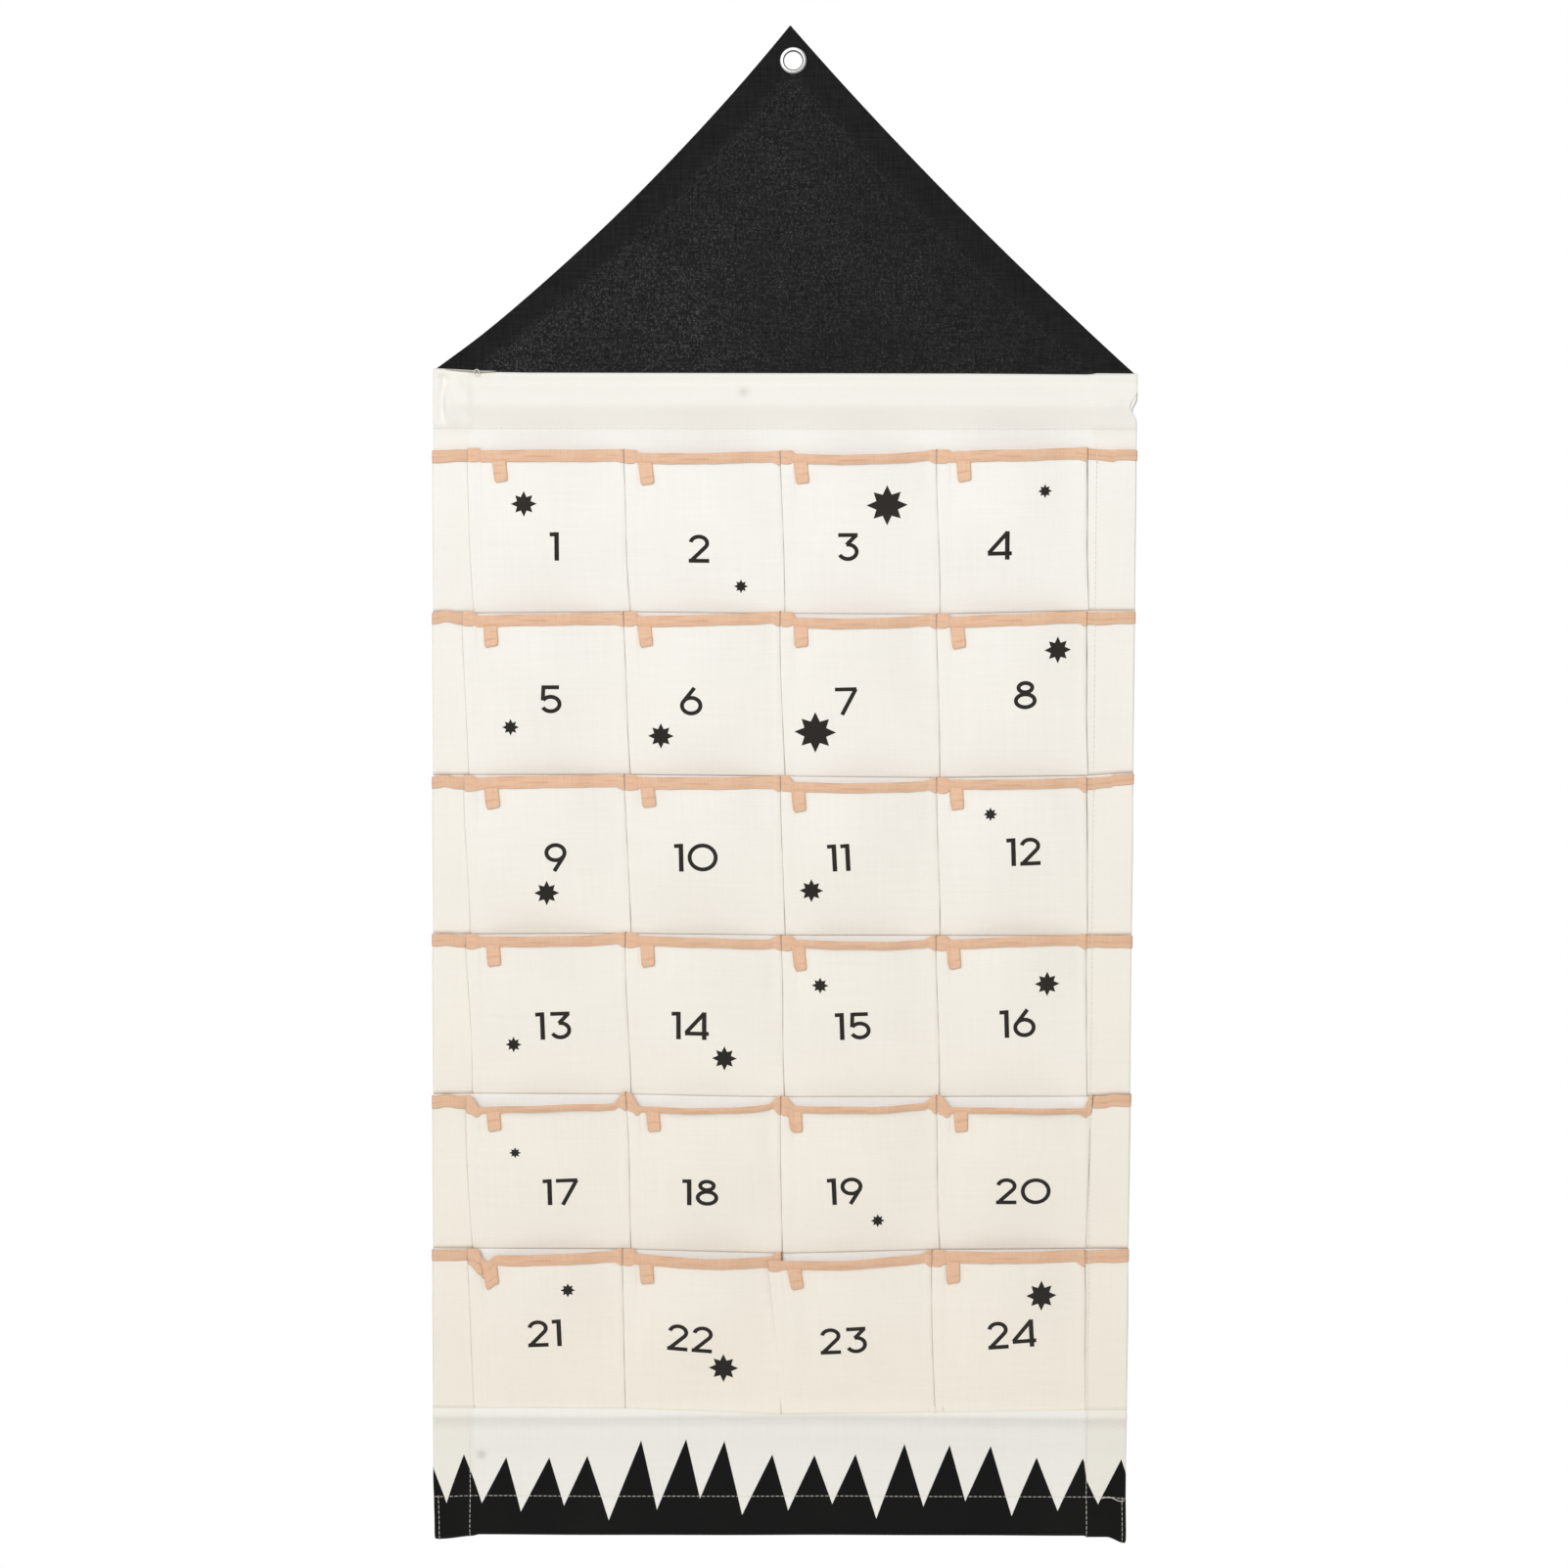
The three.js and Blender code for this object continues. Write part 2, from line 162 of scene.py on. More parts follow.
# Backing panel
# One length of cream cotton canvas. Its side edges are folded to the back and sewn down as hems, and its
# top and bottom ends are carried round to the back and stitched, which makes a casing for a rod at each.

# All lengths are in mm, from the middle of the fold below the gable, which lies here from the eyelet.
fold_middle = np.array([-4.7, 0, -197.5])
canvas = 0.8
half_width = 225.0
panel_bottom = -751.0
side_hem = 23.0
right_hem = 27.5
fold_radius = 0.85                           # outside of cloth folded back on itself
cloth_front = -0.4
cloth_back = 1.3                             # behind one more layer
top_rod_z = -20.0
top_stitch_z = -36.5
top_casing_radius = 6.1
lip_z = -4.0                                 # the casing is stitched flat above this
lip_half = 1.3
lip_top = -0.15
bottom_rod_z = -745.9
bottom_stitch_z = -726.0
bottom_casing_radius = 5.1
rod_end_x = 215.0
last_seam = -668.5                           # the bottom seam of the lowest row of pockets


def in_frame(points):
    """Points in mm from the middle of the fold, as metres from the eyelet."""
    return (np.asarray(points, float) + fold_middle) * mm


def smooth_piece(name, mesh):
    mesh.polygons.foreach_set("use_smooth", [True] * len(mesh.polygons))
    return add_object(name, mesh)


def make_piece(name, points, faces, finish, flat=None):
    """A piece from points in mm, with the flat coordinates of its cloth as a UV map."""
    mesh = bpy.data.meshes.new(name)
    mesh.from_pydata(in_frame(points).tolist(), [], [list(face) for face in faces])
    if flat is not None:
        corner = np.zeros(len(mesh.loops), int)
        mesh.loops.foreach_get("vertex_index", corner)
        cut = np.asarray(flat, float)[corner] * mm
        mesh.uv_layers.new(name="flat").data.foreach_set("uv", cut.astype(np.float32).ravel())
    mesh.materials.append(finish)
    return smooth_piece(name, mesh)


def grid(points, across, along, first=0):
    """Rows of points as a list, with the faces between them and the flat coordinates of each."""
    rows, columns = points.shape[:2]
    n = np.arange(rows * columns).reshape(rows, columns) + first
    faces = np.stack([n[:-1, :-1], n[:-1, 1:], n[1:, 1:], n[1:, :-1]], -1).reshape(-1, 4)
    flat = np.stack(np.broadcast_arrays(across, along), -1).reshape(-1, 2)
    return points.reshape(-1, 3), faces, flat


def give_thickness(piece, thickness):
    wall = piece.modifiers.new("thickness", "SOLIDIFY")
    wall.thickness = thickness * mm
    wall.offset = -1


def point_values(piece, name, values):
    layer = piece.data.attributes.new(name, "FLOAT", "POINT")
    layer.data.foreach_set("value", np.asarray(values, np.float32).ravel())


def round_rod(start, rod_z, radius, end):
    """A cloth's taut way, as (y, z), from one point round the front of a rod to another point."""
    centre = np.array([0, rod_z])
    turn = []
    for point, side in ((start, 1), (end, -1)):
        way = np.array(point) - centre
        angle = math.atan2(way[1], way[0]) % (2 * math.pi)
        turn.append(angle + side * math.acos(radius / np.hypot(*way)))
    if turn[1] < turn[0]:
        turn[1] += 2 * math.pi
    angles = np.linspace(*turn, 24)
    return [start, *(centre + radius * np.stack([np.cos(angles), np.sin(angles)], -1)), end]


def mirrored(path):
    return [(-y, z) for y, z in path]


front_lip = (-lip_half, lip_z)
lip_turn = [
    (lip_half * -math.cos(a), lip_top - lip_half * (1 - math.sin(a)))
    for a in np.linspace(0, math.pi, 13)]
hem_front, hem_back = (cloth_front, bottom_stitch_z), (cloth_back, bottom_stitch_z)
bottom_loop = round_rod(hem_front, bottom_rod_z, bottom_casing_radius, hem_back)
top_front = round_rod(front_lip, top_rod_z, top_casing_radius, (cloth_front, top_stitch_z))
top_back = mirrored(round_rod(front_lip, top_rod_z, top_casing_radius, (-cloth_back, top_stitch_z)))
bends = np.array(bottom_loop[::-1] + top_front[::-1] + lip_turn + top_back, float)
length_at = np.concatenate([[0], np.cumsum(np.hypot(*np.diff(bends, axis=0).T))])
fine = np.arange(0, length_at[-1], 0.5)
path = np.stack([np.interp(fine, length_at, bends[:, i]) for i in (0, 1)], -1)
# Cloth doesn't turn a sharp corner, and least of all round the upper rod.
for turn in range(40):
    soft = (path[:-2] + 2 * path[1:-1] + path[2:]) / 4
    path[1:-1] = np.where((turn < 6) | (path[1:-1, 1:] > -46) & (path[1:-1, 1:] < -3.2), soft, path[1:-1])
heading = np.gradient(path, axis=0)
heading /= np.hypot(*heading.T)[:, None]
facing = np.stack([-heading[:, 1], heading[:, 0]], -1)
first_front = np.argmin(np.abs(path[:, 1] - bottom_stitch_z) + 50 * (path[:, 0] > 0))
path_v = fine - fine[first_front] + path[first_front, 1]     # on the flat front this is the height
front_part = slice(np.argmin(path[:, 1]), np.argmax(path[:, 1]))


def settle(x, z):
    """How far cloth has slipped sideways: the lower dividers to the right, the right edge inwards."""
    slipped = np.interp(x, [-half_width, -203, 193, 199, half_width], [-2.4, 1.6, 1.6, -3.0, -3.4])
    return slipped * z / panel_bottom


def bump(value, middle, spread):
    return np.exp(-(((value - middle) / spread) ** 2))


def smooth_step(value, low, high):
    t = np.clip((value - low) / (high - low), 0, 1)
    return t * t * (3 - 2 * t)


def fold_rise(x):
    """How far the fold below the gable stands above or below its middle, in mm."""
    return np.interp(x, [-half_width, -195, -165, 120, half_width], [1.9, 0.5, 0.0, -0.2, -0.9])


def seam_wander(x):
    return 0.8 * np.sin(x / 62 + 1.2)


def front_ripple(x, z):
    """How far the hanging cloth stands forward, in mm, of its taut form."""
    below = last_seam + seam_wander(x) - z
    footer = 3.4 * smooth_step(below, -4, 2) * (1 - smooth_step(below, 2, 34))
    footer = footer * (0.8 + 0.2 * np.sin(x / 85 + 0.4))
    footer += 1.3 * bump(below, 3.5, 2.4) - 1.3 * bump(below, 8.5, 2.8)
    slack = 0.7 * np.sin(x / 41 + z / 130) * np.sin(z / 83 + 1) + 0.35 * np.sin(x / 17 - z / 47)
    at_rod_end = smooth_step(z, -36, -26) * smooth_step(-z, 1, 6)
    rod_crease = -2.6 * bump(x, -218.5 - 0.5 * np.sin(z / 5), 1.9) * at_rod_end
    rod_crease = rod_crease * smooth_step(-x, rod_end_x, rod_end_x + 2)
    crumple = 0.7 * np.sin(x / 2.9 + z / 4.3) * bump(x, -208, 9) * at_rod_end
    lip = 0.7 * bump(z, -2.2, 1.8) - 0.8 * bump(z, -7.5, 2.4)
    return footer + slack * smooth_step(-z, 30, 60) + rod_crease + crumple + lip


def on_backing(across, along, raised=0.0):
    """Points on the outside of the backing, in mm, from its flat coordinates, or so far off it."""
    across, along, raised = np.broadcast_arrays(*np.atleast_1d(across, along, raised))
    y, z = (np.interp(along, path_v, path[:, i]) for i in (0, 1))
    ny, nz = (np.interp(along, path_v, facing[:, i]) for i in (0, 1))
    side = np.sign(across)
    over = np.abs(across) - (half_width - fold_radius)
    turn = np.clip(over / fold_radius, 0, math.pi)
    past_turn = np.maximum(over - math.pi * fold_radius, 0)
    edge = half_width - fold_radius + (fold_radius + 0.3 * raised) * np.sin(turn) - past_turn
    x = np.where(over < 0, np.abs(across), edge)
    depth = fold_radius - (fold_radius + raised) * np.cos(turn)
    hem_start = half_width - np.where(side < 0, side_hem, right_hem)
    in_hem = smooth_step(x, hem_start - 3, hem_start + 1)
    casing = smooth_step(z, top_stitch_z - 2, top_stitch_z + 4)
    casing = casing + smooth_step(-z, -bottom_stitch_z - 2, -bottom_stitch_z + 4)
    behind = smooth_step(y, 0.6, 1.2)
    swell = in_hem * (0.9 * casing + behind)
    sunk = np.where(side < 0, 3.6, 0.4) * smooth_step(x, rod_end_x + 1, rod_end_x + 6)
    swell -= sunk * bump(z, top_rod_z, 8)
    y = y + ny * (swell - depth)
    z = z + nz * (swell - depth)
    x = x * side
    front = ny < -0.5
    y = y - front_ripple(x, z) * np.where(front, 1, 0.8)
    x = x + settle(x, z)
    pulled = np.where(front & (depth < 1.2), 5.0 * bump(z, -21.5, 6.0), 3.0 * bump(z, -24.5, 5.0))
    pulled = pulled * smooth_step(x, 205, 223)
    z = z + fold_rise(x) * smooth_step(z, -36, -2)
    low = smooth_step(-z, 712, 748)
    x = x - pulled + 1.4 * low * smooth_step(-x, 212, 224)
    droop = 2.0 * smooth_step(-x, 200, 222) + 4.0 * smooth_step(x, 209, 221)
    return np.stack([x, y, z - droop * low], -1)


def front_v(height):
    """The flat coordinate of a height on the front."""
    return np.interp(height, path[front_part, 1], path_v[front_part])


def new_group(name, tree_kind, inputs, outputs, output_kind):
    group = bpy.data.node_groups.new(name, tree_kind)
    for label, kind, value in inputs:
        socket = group.interface.new_socket(label, in_out="INPUT", socket_type=kind)
        if value is not None:
            socket.default_value = value
    for label in outputs:
        group.interface.new_socket(label, in_out="OUTPUT", socket_type=output_kind)
    return group, group.nodes.new("NodeGroupInput").outputs, group.nodes.new("NodeGroupOutput").inputs


def vector_maths(tree, operation, *wired):
    return put(tree, "ShaderNodeVectorMath", *wired, operation=operation)


def noise(tree, place, scale, detail):
    return put(tree, "ShaderNodeTexNoise", place, None, scale, detail)


# Plain weave: threads that pass over and under, uneven yarn both ways, and one value per crossing.
weave, given, made = new_group(
    "plain_weave", "ShaderNodeTree",
    [("Cloth", "NodeSocketVector", None), ("Thread pitch", "NodeSocketFloat", 0.0006),
     ("Slub width", "NodeSocketFloat", 0.0015), ("Slub length", "NodeSocketFloat", 0.05)],
    ["Height", "Slubs", "Crossing", "Unevenness"], "NodeSocketFloat")
per_metre = maths(weave, "DIVIDE", 1.0, given["Thread pitch"])
threads = vector_maths(weave, "SCALE", given["Cloth"], None, None, per_metre)
split = weave.nodes.new("ShaderNodeSeparateXYZ")
weave.links.new(threads, split.inputs[0])
warp, weft = (maths(weave, "SINE", maths(weave, "MULTIPLY", split.outputs[i], math.pi)) for i in (0, 1))
over = maths(weave, "MULTIPLY_ADD", maths(weave, "MULTIPLY", warp, weft), 0.5, 0.5)
under = maths(weave, "SUBTRACT", 1.0, over)
weft_height = maths(weave, "MULTIPLY", maths(weave, "ABSOLUTE", weft), under)
height = maths(weave, "MULTIPLY_ADD", maths(weave, "ABSOLUTE", warp), over, weft_height)
weave.links.new(height, made["Height"])
fine_scale = maths(weave, "DIVIDE", 1.0, given["Slub width"])
long_scale = maths(weave, "DIVIDE", 1.0, given["Slub length"])
yarns = []
for first, second in ((fine_scale, long_scale), (long_scale, fine_scale)):
    stretch = put(weave, "ShaderNodeCombineXYZ", first, second, 1.0)
    stretched = vector_maths(weave, "MULTIPLY", given["Cloth"], stretch)
    yarns.append(noise(weave, stretched, 1.0, 2.0))
weave.links.new(maths(weave, "MULTIPLY", maths(weave, "ADD", *yarns), 0.5), made["Slubs"])
crossing = put(weave, "ShaderNodeTexWhiteNoise", vector_maths(weave, "FLOOR", threads))
weave.links.new(crossing, made["Crossing"])
weave.links.new(noise(weave, given["Cloth"], 14.0, 3.0), made["Unevenness"])


def new_finish(name):
    finish = bpy.data.materials.new(name)
    finish.use_nodes = True
    finish.node_tree.nodes.clear()
    shader = finish.node_tree.nodes.new("ShaderNodeBsdfPrincipled")
    output = finish.node_tree.nodes.new("ShaderNodeOutputMaterial")
    finish.node_tree.links.new(shader.outputs[0], output.inputs["Surface"])
    return finish, finish.node_tree, shader


def colour_with(tree, shader, colour, roughness, shine=0.5, sheen=0.0):
    tree.links.new(colour, shader.inputs["Base Color"])
    tree.links.new(roughness, shader.inputs["Roughness"])
    shader.inputs["Specular IOR Level"].default_value = shine
    shader.inputs["Sheen Weight"].default_value = sheen


def flat_cloth(tree):
    return put(tree, "ShaderNodeUVMap", uv_map="flat")


def point_value(tree, name):
    return put(tree, "ShaderNodeAttribute", out=2, attribute_name=name)


def woven(tree, cloth, pitch, slub_width=0.0015, slub_length=0.05):
    node = tree.nodes.new("ShaderNodeGroup")
    node.node_tree = weave
    tree.links.new(cloth, node.inputs["Cloth"])
    for label, value in (("Thread pitch", pitch), ("Slub width", slub_width), ("Slub length", slub_length)):
        node.inputs[label].default_value = value
    return node.outputs


def between(tree, value, low, high, at_low=0.0, at_high=1.0):
    return put(tree, "ShaderNodeMapRange", value, low, high, at_low, at_high)


def mixed(tree, share, first, second):
    """The first colour, and the second one by a share that changes over the surface."""
    node = tree.nodes.new("ShaderNodeMix")
    node.data_type = "RGBA"
    for socket, value in zip((node.inputs[0], node.inputs[6], node.inputs[7]), (share, first, second)):
        if isinstance(value, bpy.types.NodeSocket):
            tree.links.new(value, socket)
        else:
            socket.default_value = value
    return node.outputs[2]


def raised_by(tree, shader, height, depth, strength, under=None):
    relief = tree.nodes.new("ShaderNodeBump")
    relief.inputs["Strength"].default_value = strength
    relief.inputs["Distance"].default_value = depth * mm
    tree.links.new(height, relief.inputs["Height"])
    if under is not None:
        tree.links.new(under, relief.inputs["Normal"])
    if shader is not None:
        tree.links.new(relief.outputs[0], shader.inputs["Normal"])
    return relief.outputs[0]


canvas_pitch = 0.00062                       # from one thread to the next, in metres


def canvas_finish(name, pale, deep, foot_shade_tint, tint_from):
    """Cotton canvas: pale and deep yarns, warmer where it lies double, and painted darker and warmer towards
    the foot as shade.
    """
    finish, tree, shader = new_finish(name)
    cloth = flat_cloth(tree)
    threads = woven(tree, cloth, canvas_pitch)
    yarn = between(tree, threads["Slubs"], 0.32, 0.68)
    tone = between(tree, threads["Unevenness"], 0.3, 0.7)
    share = maths(tree, "MULTIPLY_ADD", yarn, 0.6, maths(tree, "MULTIPLY", tone, 0.4))
    colour = mixed(tree, share, deep, pale)
    doubled = between(tree, point_value(tree, "from_hem"), -1.0 * mm, 1.0 * mm, 0.7, 0.0)
    colour = mixed(tree, doubled, colour, paint(247, 244, 237))
    # Painted shade: the colour darkens and warms from tint_from down to 690 mm below the fold.
    height = put(tree, "ShaderNodeSeparateXYZ", cloth, out=1)
    shaded_at_foot = vector_maths(tree, "MULTIPLY", colour, foot_shade_tint)
    colour = mixed(tree, between(tree, height, tint_from * mm, -690 * mm), colour, shaded_at_foot)
    # Real smudges, and painted shade in brown: beside the pleats' folds, on the casing over the top rod, and
    # in a band below the last seam.
    colour = mixed(tree, point_value(tree, "smudges_and_painted_shade"), colour, paint(122, 102, 74))
    # Painted shade: the colour is up to 5% darker in the hollows between the threads.
    pore = between(tree, threads["Height"], 0.15, 0.6, 0.95, 1.0)
    shaded = vector_maths(tree, "SCALE", colour, None, None, pore)
    roughness = between(tree, threads["Slubs"], 0.3, 0.7, 0.95, 0.82)
    colour_with(tree, shader, shaded, roughness, shine=0.2, sheen=0.06)
    uneven = raised_by(tree, None, threads["Slubs"], 0.25, 0.5)
    raised_by(tree, shader, threads["Height"], 0.16, 0.6, uneven)
    return finish


backing_canvas = canvas_finish(
    "backing_canvas", paint(251, 251, 249), paint(245, 245, 242), (0.9, 0.895, 0.87), -590)

# The points of the printed triangles, across and up: the backing has a row of its mesh at each.
teeth = [
    (-248, -704), (-240, -729), (-225.2, -706.4), (-217.8, -729.6), (-207.9, -698.5),
    (-197.2, -730.5), (-181.3, -700.4), (-171.9, -735.6), (-153.4, -700.4), (-143.9, -731.7),
    (-128.7, -699.1), (-114.8, -740.6), (-93.8, -688.8), (-83.7, -734.2),
    (-64.7, -688.1), (-55.8, -727.1), (-39.9, -689.3), (-28.5, -737.3), (-8.9, -698.2), (1.3, -734.7),
    (18.4, -698.8), (29.9, -730.8), (45.0, -698.2), (58.4, -739.7), (76.7, -691.1), (88.9, -732.0),
    (105.9, -691.7), (116.1, -728.7), (132.5, -692.3), (146.0, -737.7), (162.3, -699.9), (175.8, -734.4),
    (192.1, -700.5), (206.6, -730.3), (221.8, -701.1), (232, -731), (248, -703),
]

turn_angles = np.linspace(0, math.pi, 7)[1:]
across = np.concatenate([
    np.linspace(0, half_width - 26, 68)[1:], np.linspace(half_width - 25, half_width - fold_radius, 18),
    half_width - fold_radius + fold_radius * turn_angles,
    np.linspace(half_width + 3, half_width + side_hem, 9)])
across = np.unique(np.concatenate([-across, [0], across, [half_width + right_hem], [x for x, z in teeth]]))
along = np.concatenate([
    np.arange(path_v[0], front_v(-722), 1.1), np.arange(front_v(-722), front_v(-660), 2.0),
    np.arange(front_v(-660), front_v(-36), 4.0), np.arange(front_v(-36), path_v[-1], 1.0), [path_v[-1]]])
across_grid, along_grid = np.meshgrid(across, along)
points, faces, flat = grid(on_backing(across_grid, along_grid), across_grid, along_grid)
backing = make_piece("backing_cloth", points, faces, backing_canvas, flat)
hem_widths = np.where(flat[:, 0] < 0, side_hem, right_hem)
from_hem = np.minimum(half_width - hem_widths - np.abs(flat[:, 0]), front_v(top_stitch_z) - flat[:, 1])
point_values(backing, "from_hem", from_hem * mm)
smudges = [((-26.9, -11.5), 3.0, 0.22), ((-197.4, -698.5), 2.7, 0.36)]     # place, reach and strength
smudges_and_painted_shade = sum(
    strength * np.exp(-(np.hypot(*(flat - place).T) / reach) ** 2)
    for place, reach, strength in smudges)
# Painted shade on the casing where the top rod lies inside it.
rod_shade = smooth_step(flat[:, 1], front_v(top_stitch_z) + 5, front_v(top_stitch_z) + 15)
rod_shade = rod_shade * (0.02 + 0.01 * np.sin(flat[:, 0] / 47 + 2) * np.sin(flat[:, 1] / 6))
# Painted shadow: a soft darker band just below the last row's seam.
below_seam = front_v(last_seam) - flat[:, 1] + seam_wander(flat[:, 0])
point_values(backing, "smudges_and_painted_shade", smudges_and_painted_shade + rod_shade + 0.13 * bump(below_seam, 9.6, 3))
give_thickness(backing, canvas)
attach(backing, "panel")
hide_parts("backing_panel")

# Printed edge
# A black band of triangles, screen-printed in fabric ink along the foot of the backing before it was
# hemmed, so that it runs over the side folds and round the bottom rod to the back.

ink_lift = 0.12


def ink_finish(name, dark, wear_and_light_fade):
    """Matt fabric ink, with the weave showing through and a little paler on the raised threads."""
    finish, tree, shader = new_finish(name)
    threads = woven(tree, flat_cloth(tree), canvas_pitch)
    wear_and_hole_shade = maths(tree, "MULTIPLY", between(tree, threads["Unevenness"], 0.45, 0.75), threads["Slubs"])
    roughness = between(tree, threads["Height"], 0.0, 1.0, 0.95, 0.8)
    colour_with(tree, shader, mixed(tree, wear_and_hole_shade, dark, wear_and_light_fade), roughness, shine=0.12)
    raised_by(tree, shader, threads["Height"], 0.1, 0.5)
    return finish


band_ink = ink_finish("band_ink", paint(15, 15, 15), paint(26, 25, 24))
tooth_x, tooth_z = np.array(teeth).T
tooth_v = np.interp(across, tooth_x, front_v(tooth_z))
printed_rows = along < front_v(tooth_z.max()) + 8
inked = on_backing(across_grid[printed_rows], along_grid[printed_rows], ink_lift)
above = along_grid[printed_rows] - tooth_v
band_points, band_faces, band_flat = [], [], []
for row, column in np.ndindex(inked.shape[0] - 1, inked.shape[1] - 1):
    ring = [(row, column), (row, column + 1), (row + 1, column + 1), (row + 1, column)]
    if min(above[corner] for corner in ring) >= 0:
        continue
    face = []
    for start, end in zip(ring, ring[1:] + ring[:1]):
        part = above[start] / (above[start] - above[end]) if above[start] * above[end] < 0 else None
        for share in ([0.0] if above[start] <= 0 else []) + ([part] if part is not None else []):
            face.append(len(band_points))
            band_points.append(inked[start] + share * (inked[end] - inked[start]))
            flat_start, flat_end = (np.array([across[c[1]], along[c[0]]]) for c in (start, end))
            band_flat.append(flat_start + share * (flat_end - flat_start))
    if len(face) > 2:
        band_faces.append(face)


@contextmanager
def reworked(piece):
    """The piece's mesh to work on, which goes back to the piece when the work is done."""
    work = bmesh.new()
    work.from_mesh(piece.data)
    yield work
    work.to_mesh(piece.data)
    work.free()


def weld(work):
    """Joins points that lie on each other."""
    bmesh.ops.remove_doubles(work, verts=work.verts, dist=0.004 * mm)


band = make_piece("printed_band", band_points, band_faces, band_ink, band_flat)
with reworked(band) as work:
    weld(work)
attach(band, "panel")

# Stitching on the backing
# Lockstitch in pale cotton thread: along both casings, up both side hems and across the lower casing's
# ends. Each stitch is a short thread laid on the cloth, along the path that its seam follows.

stitch_tree, given, made = new_group(
    "row_of_stitches", "GeometryNodeTree",
    [("Seams", "NodeSocketGeometry", None), ("Pitch", "NodeSocketFloat", 0.003),
     ("Length", "NodeSocketFloat", 0.0024), ("Thread", "NodeSocketFloat", 0.0004),
     ("Finish", "NodeSocketMaterial", None)],
    ["Stitches"], "NodeSocketGeometry")
seam = put(stitch_tree, "GeometryNodeMeshToCurve", given["Seams"])
holes = stitch_tree.nodes.new("GeometryNodeResampleCurve")
holes.mode = "LENGTH"
stitch_tree.links.new(seam, holes.inputs["Curve"])
stitch_tree.links.new(given["Pitch"], holes.inputs["Length"])
thread = put(stitch_tree, "GeometryNodeMeshUVSphere", 6, 5, 0.5)
lie = stitch_tree.nodes.new("FunctionNodeAlignRotationToVector")
lie.axis = "Z"
stitch_tree.links.new(stitch_tree.nodes.new("GeometryNodeInputTangent").outputs[0], lie.inputs["Vector"])
uneven = stitch_tree.nodes.new("FunctionNodeRandomValue")
uneven.data_type = "FLOAT"
for label, value in (("Min", 0.88), ("Max", 1.08), ("Seed", 7)):
    next(s for s in uneven.inputs if s.name == label and s.enabled).default_value = value
share_of_length = next(s for s in uneven.outputs if s.enabled)
one_stitch_length = maths(stitch_tree, "MULTIPLY", given["Length"], share_of_length)
size = put(stitch_tree, "ShaderNodeCombineXYZ", given["Thread"], given["Thread"], one_stitch_length)
sewn = stitch_tree.nodes.new("GeometryNodeInstanceOnPoints")
for label, value in (
    ("Points", holes.outputs[0]), ("Instance", thread), ("Rotation", lie.outputs[0]), ("Scale", size),
):
    stitch_tree.links.new(value, sewn.inputs[label])
whole = put(stitch_tree, "GeometryNodeRealizeInstances", sewn.outputs[0])
finished = stitch_tree.nodes.new("GeometryNodeSetMaterial")
stitch_tree.links.new(whole, finished.inputs["Geometry"])
stitch_tree.links.new(given["Finish"], finished.inputs["Material"])
stitch_tree.links.new(finished.outputs[0], made["Stitches"])


def made_from(guide, name):
    """A plain piece with the shape that a guide's modifiers or thickness give. The guide is removed."""
    evaluated = guide.evaluated_get(bpy.context.evaluated_depsgraph_get())
    mesh = bpy.data.meshes.new_from_object(evaluated)
    mesh.name = name
    bpy.data.objects.remove(guide)
    return smooth_piece(name, mesh)


def sew(name, seams, finish, thread, pitch=3.2, length=2.8):
    """Rows of stitches along lists of points, in mm, as one plain mesh."""
    points = np.concatenate(seams)
    ends = np.cumsum([len(seam) for seam in seams]) - 1
    edges = [(i, i + 1) for i in range(len(points) - 1) if i not in ends]
    mesh = bpy.data.meshes.new(name + "_seams")
    mesh.from_pydata(in_frame(points).tolist(), edges, [])
    guide = add_object(name + "_seams", mesh)
    maker = guide.modifiers.new("stitches", "NODES")
    maker.node_group = stitch_tree
    values = {"Pitch": pitch * mm, "Length": length * mm, "Thread": thread * mm, "Finish": finish}
    for socket in stitch_tree.interface.items_tree:
        if socket.name in values and socket.in_out == "INPUT":
            maker[socket.identifier] = values[socket.name]
    return made_from(guide, name)


def thread_finish(name, pale, deep):
    """Spun cotton, with fine twisted plies."""
    finish, tree, shader = new_finish(name)
    plies = noise(tree, put(tree, "ShaderNodeTexCoord", out=3), 2600.0, 2.0)
    colour = mixed(tree, between(tree, plies, 0.3, 0.7), deep, pale)
    colour_with(tree, shader, colour, between(tree, plies, 0.3, 0.7, 0.85, 0.6))
    raised_by(tree, shader, plies, 0.06, 0.6)
    return finish


pale_thread = thread_finish("pale_thread", paint(238, 236, 228), paint(212, 208, 199))
stitch_lift = 0.2


def seam_on_backing(start, end):
    """A straight seam between two flat points of the backing, with a point every 1.5 mm."""
    start, end = np.array(start, float), np.array(end, float)
    count = max(2, int(np.hypot(*(end - start)) / 1.5))
    line = start + (end - start) * np.linspace(0, 1, count)[:, None]
    return on_backing(line[:, 0], line[:, 1], stitch_lift)


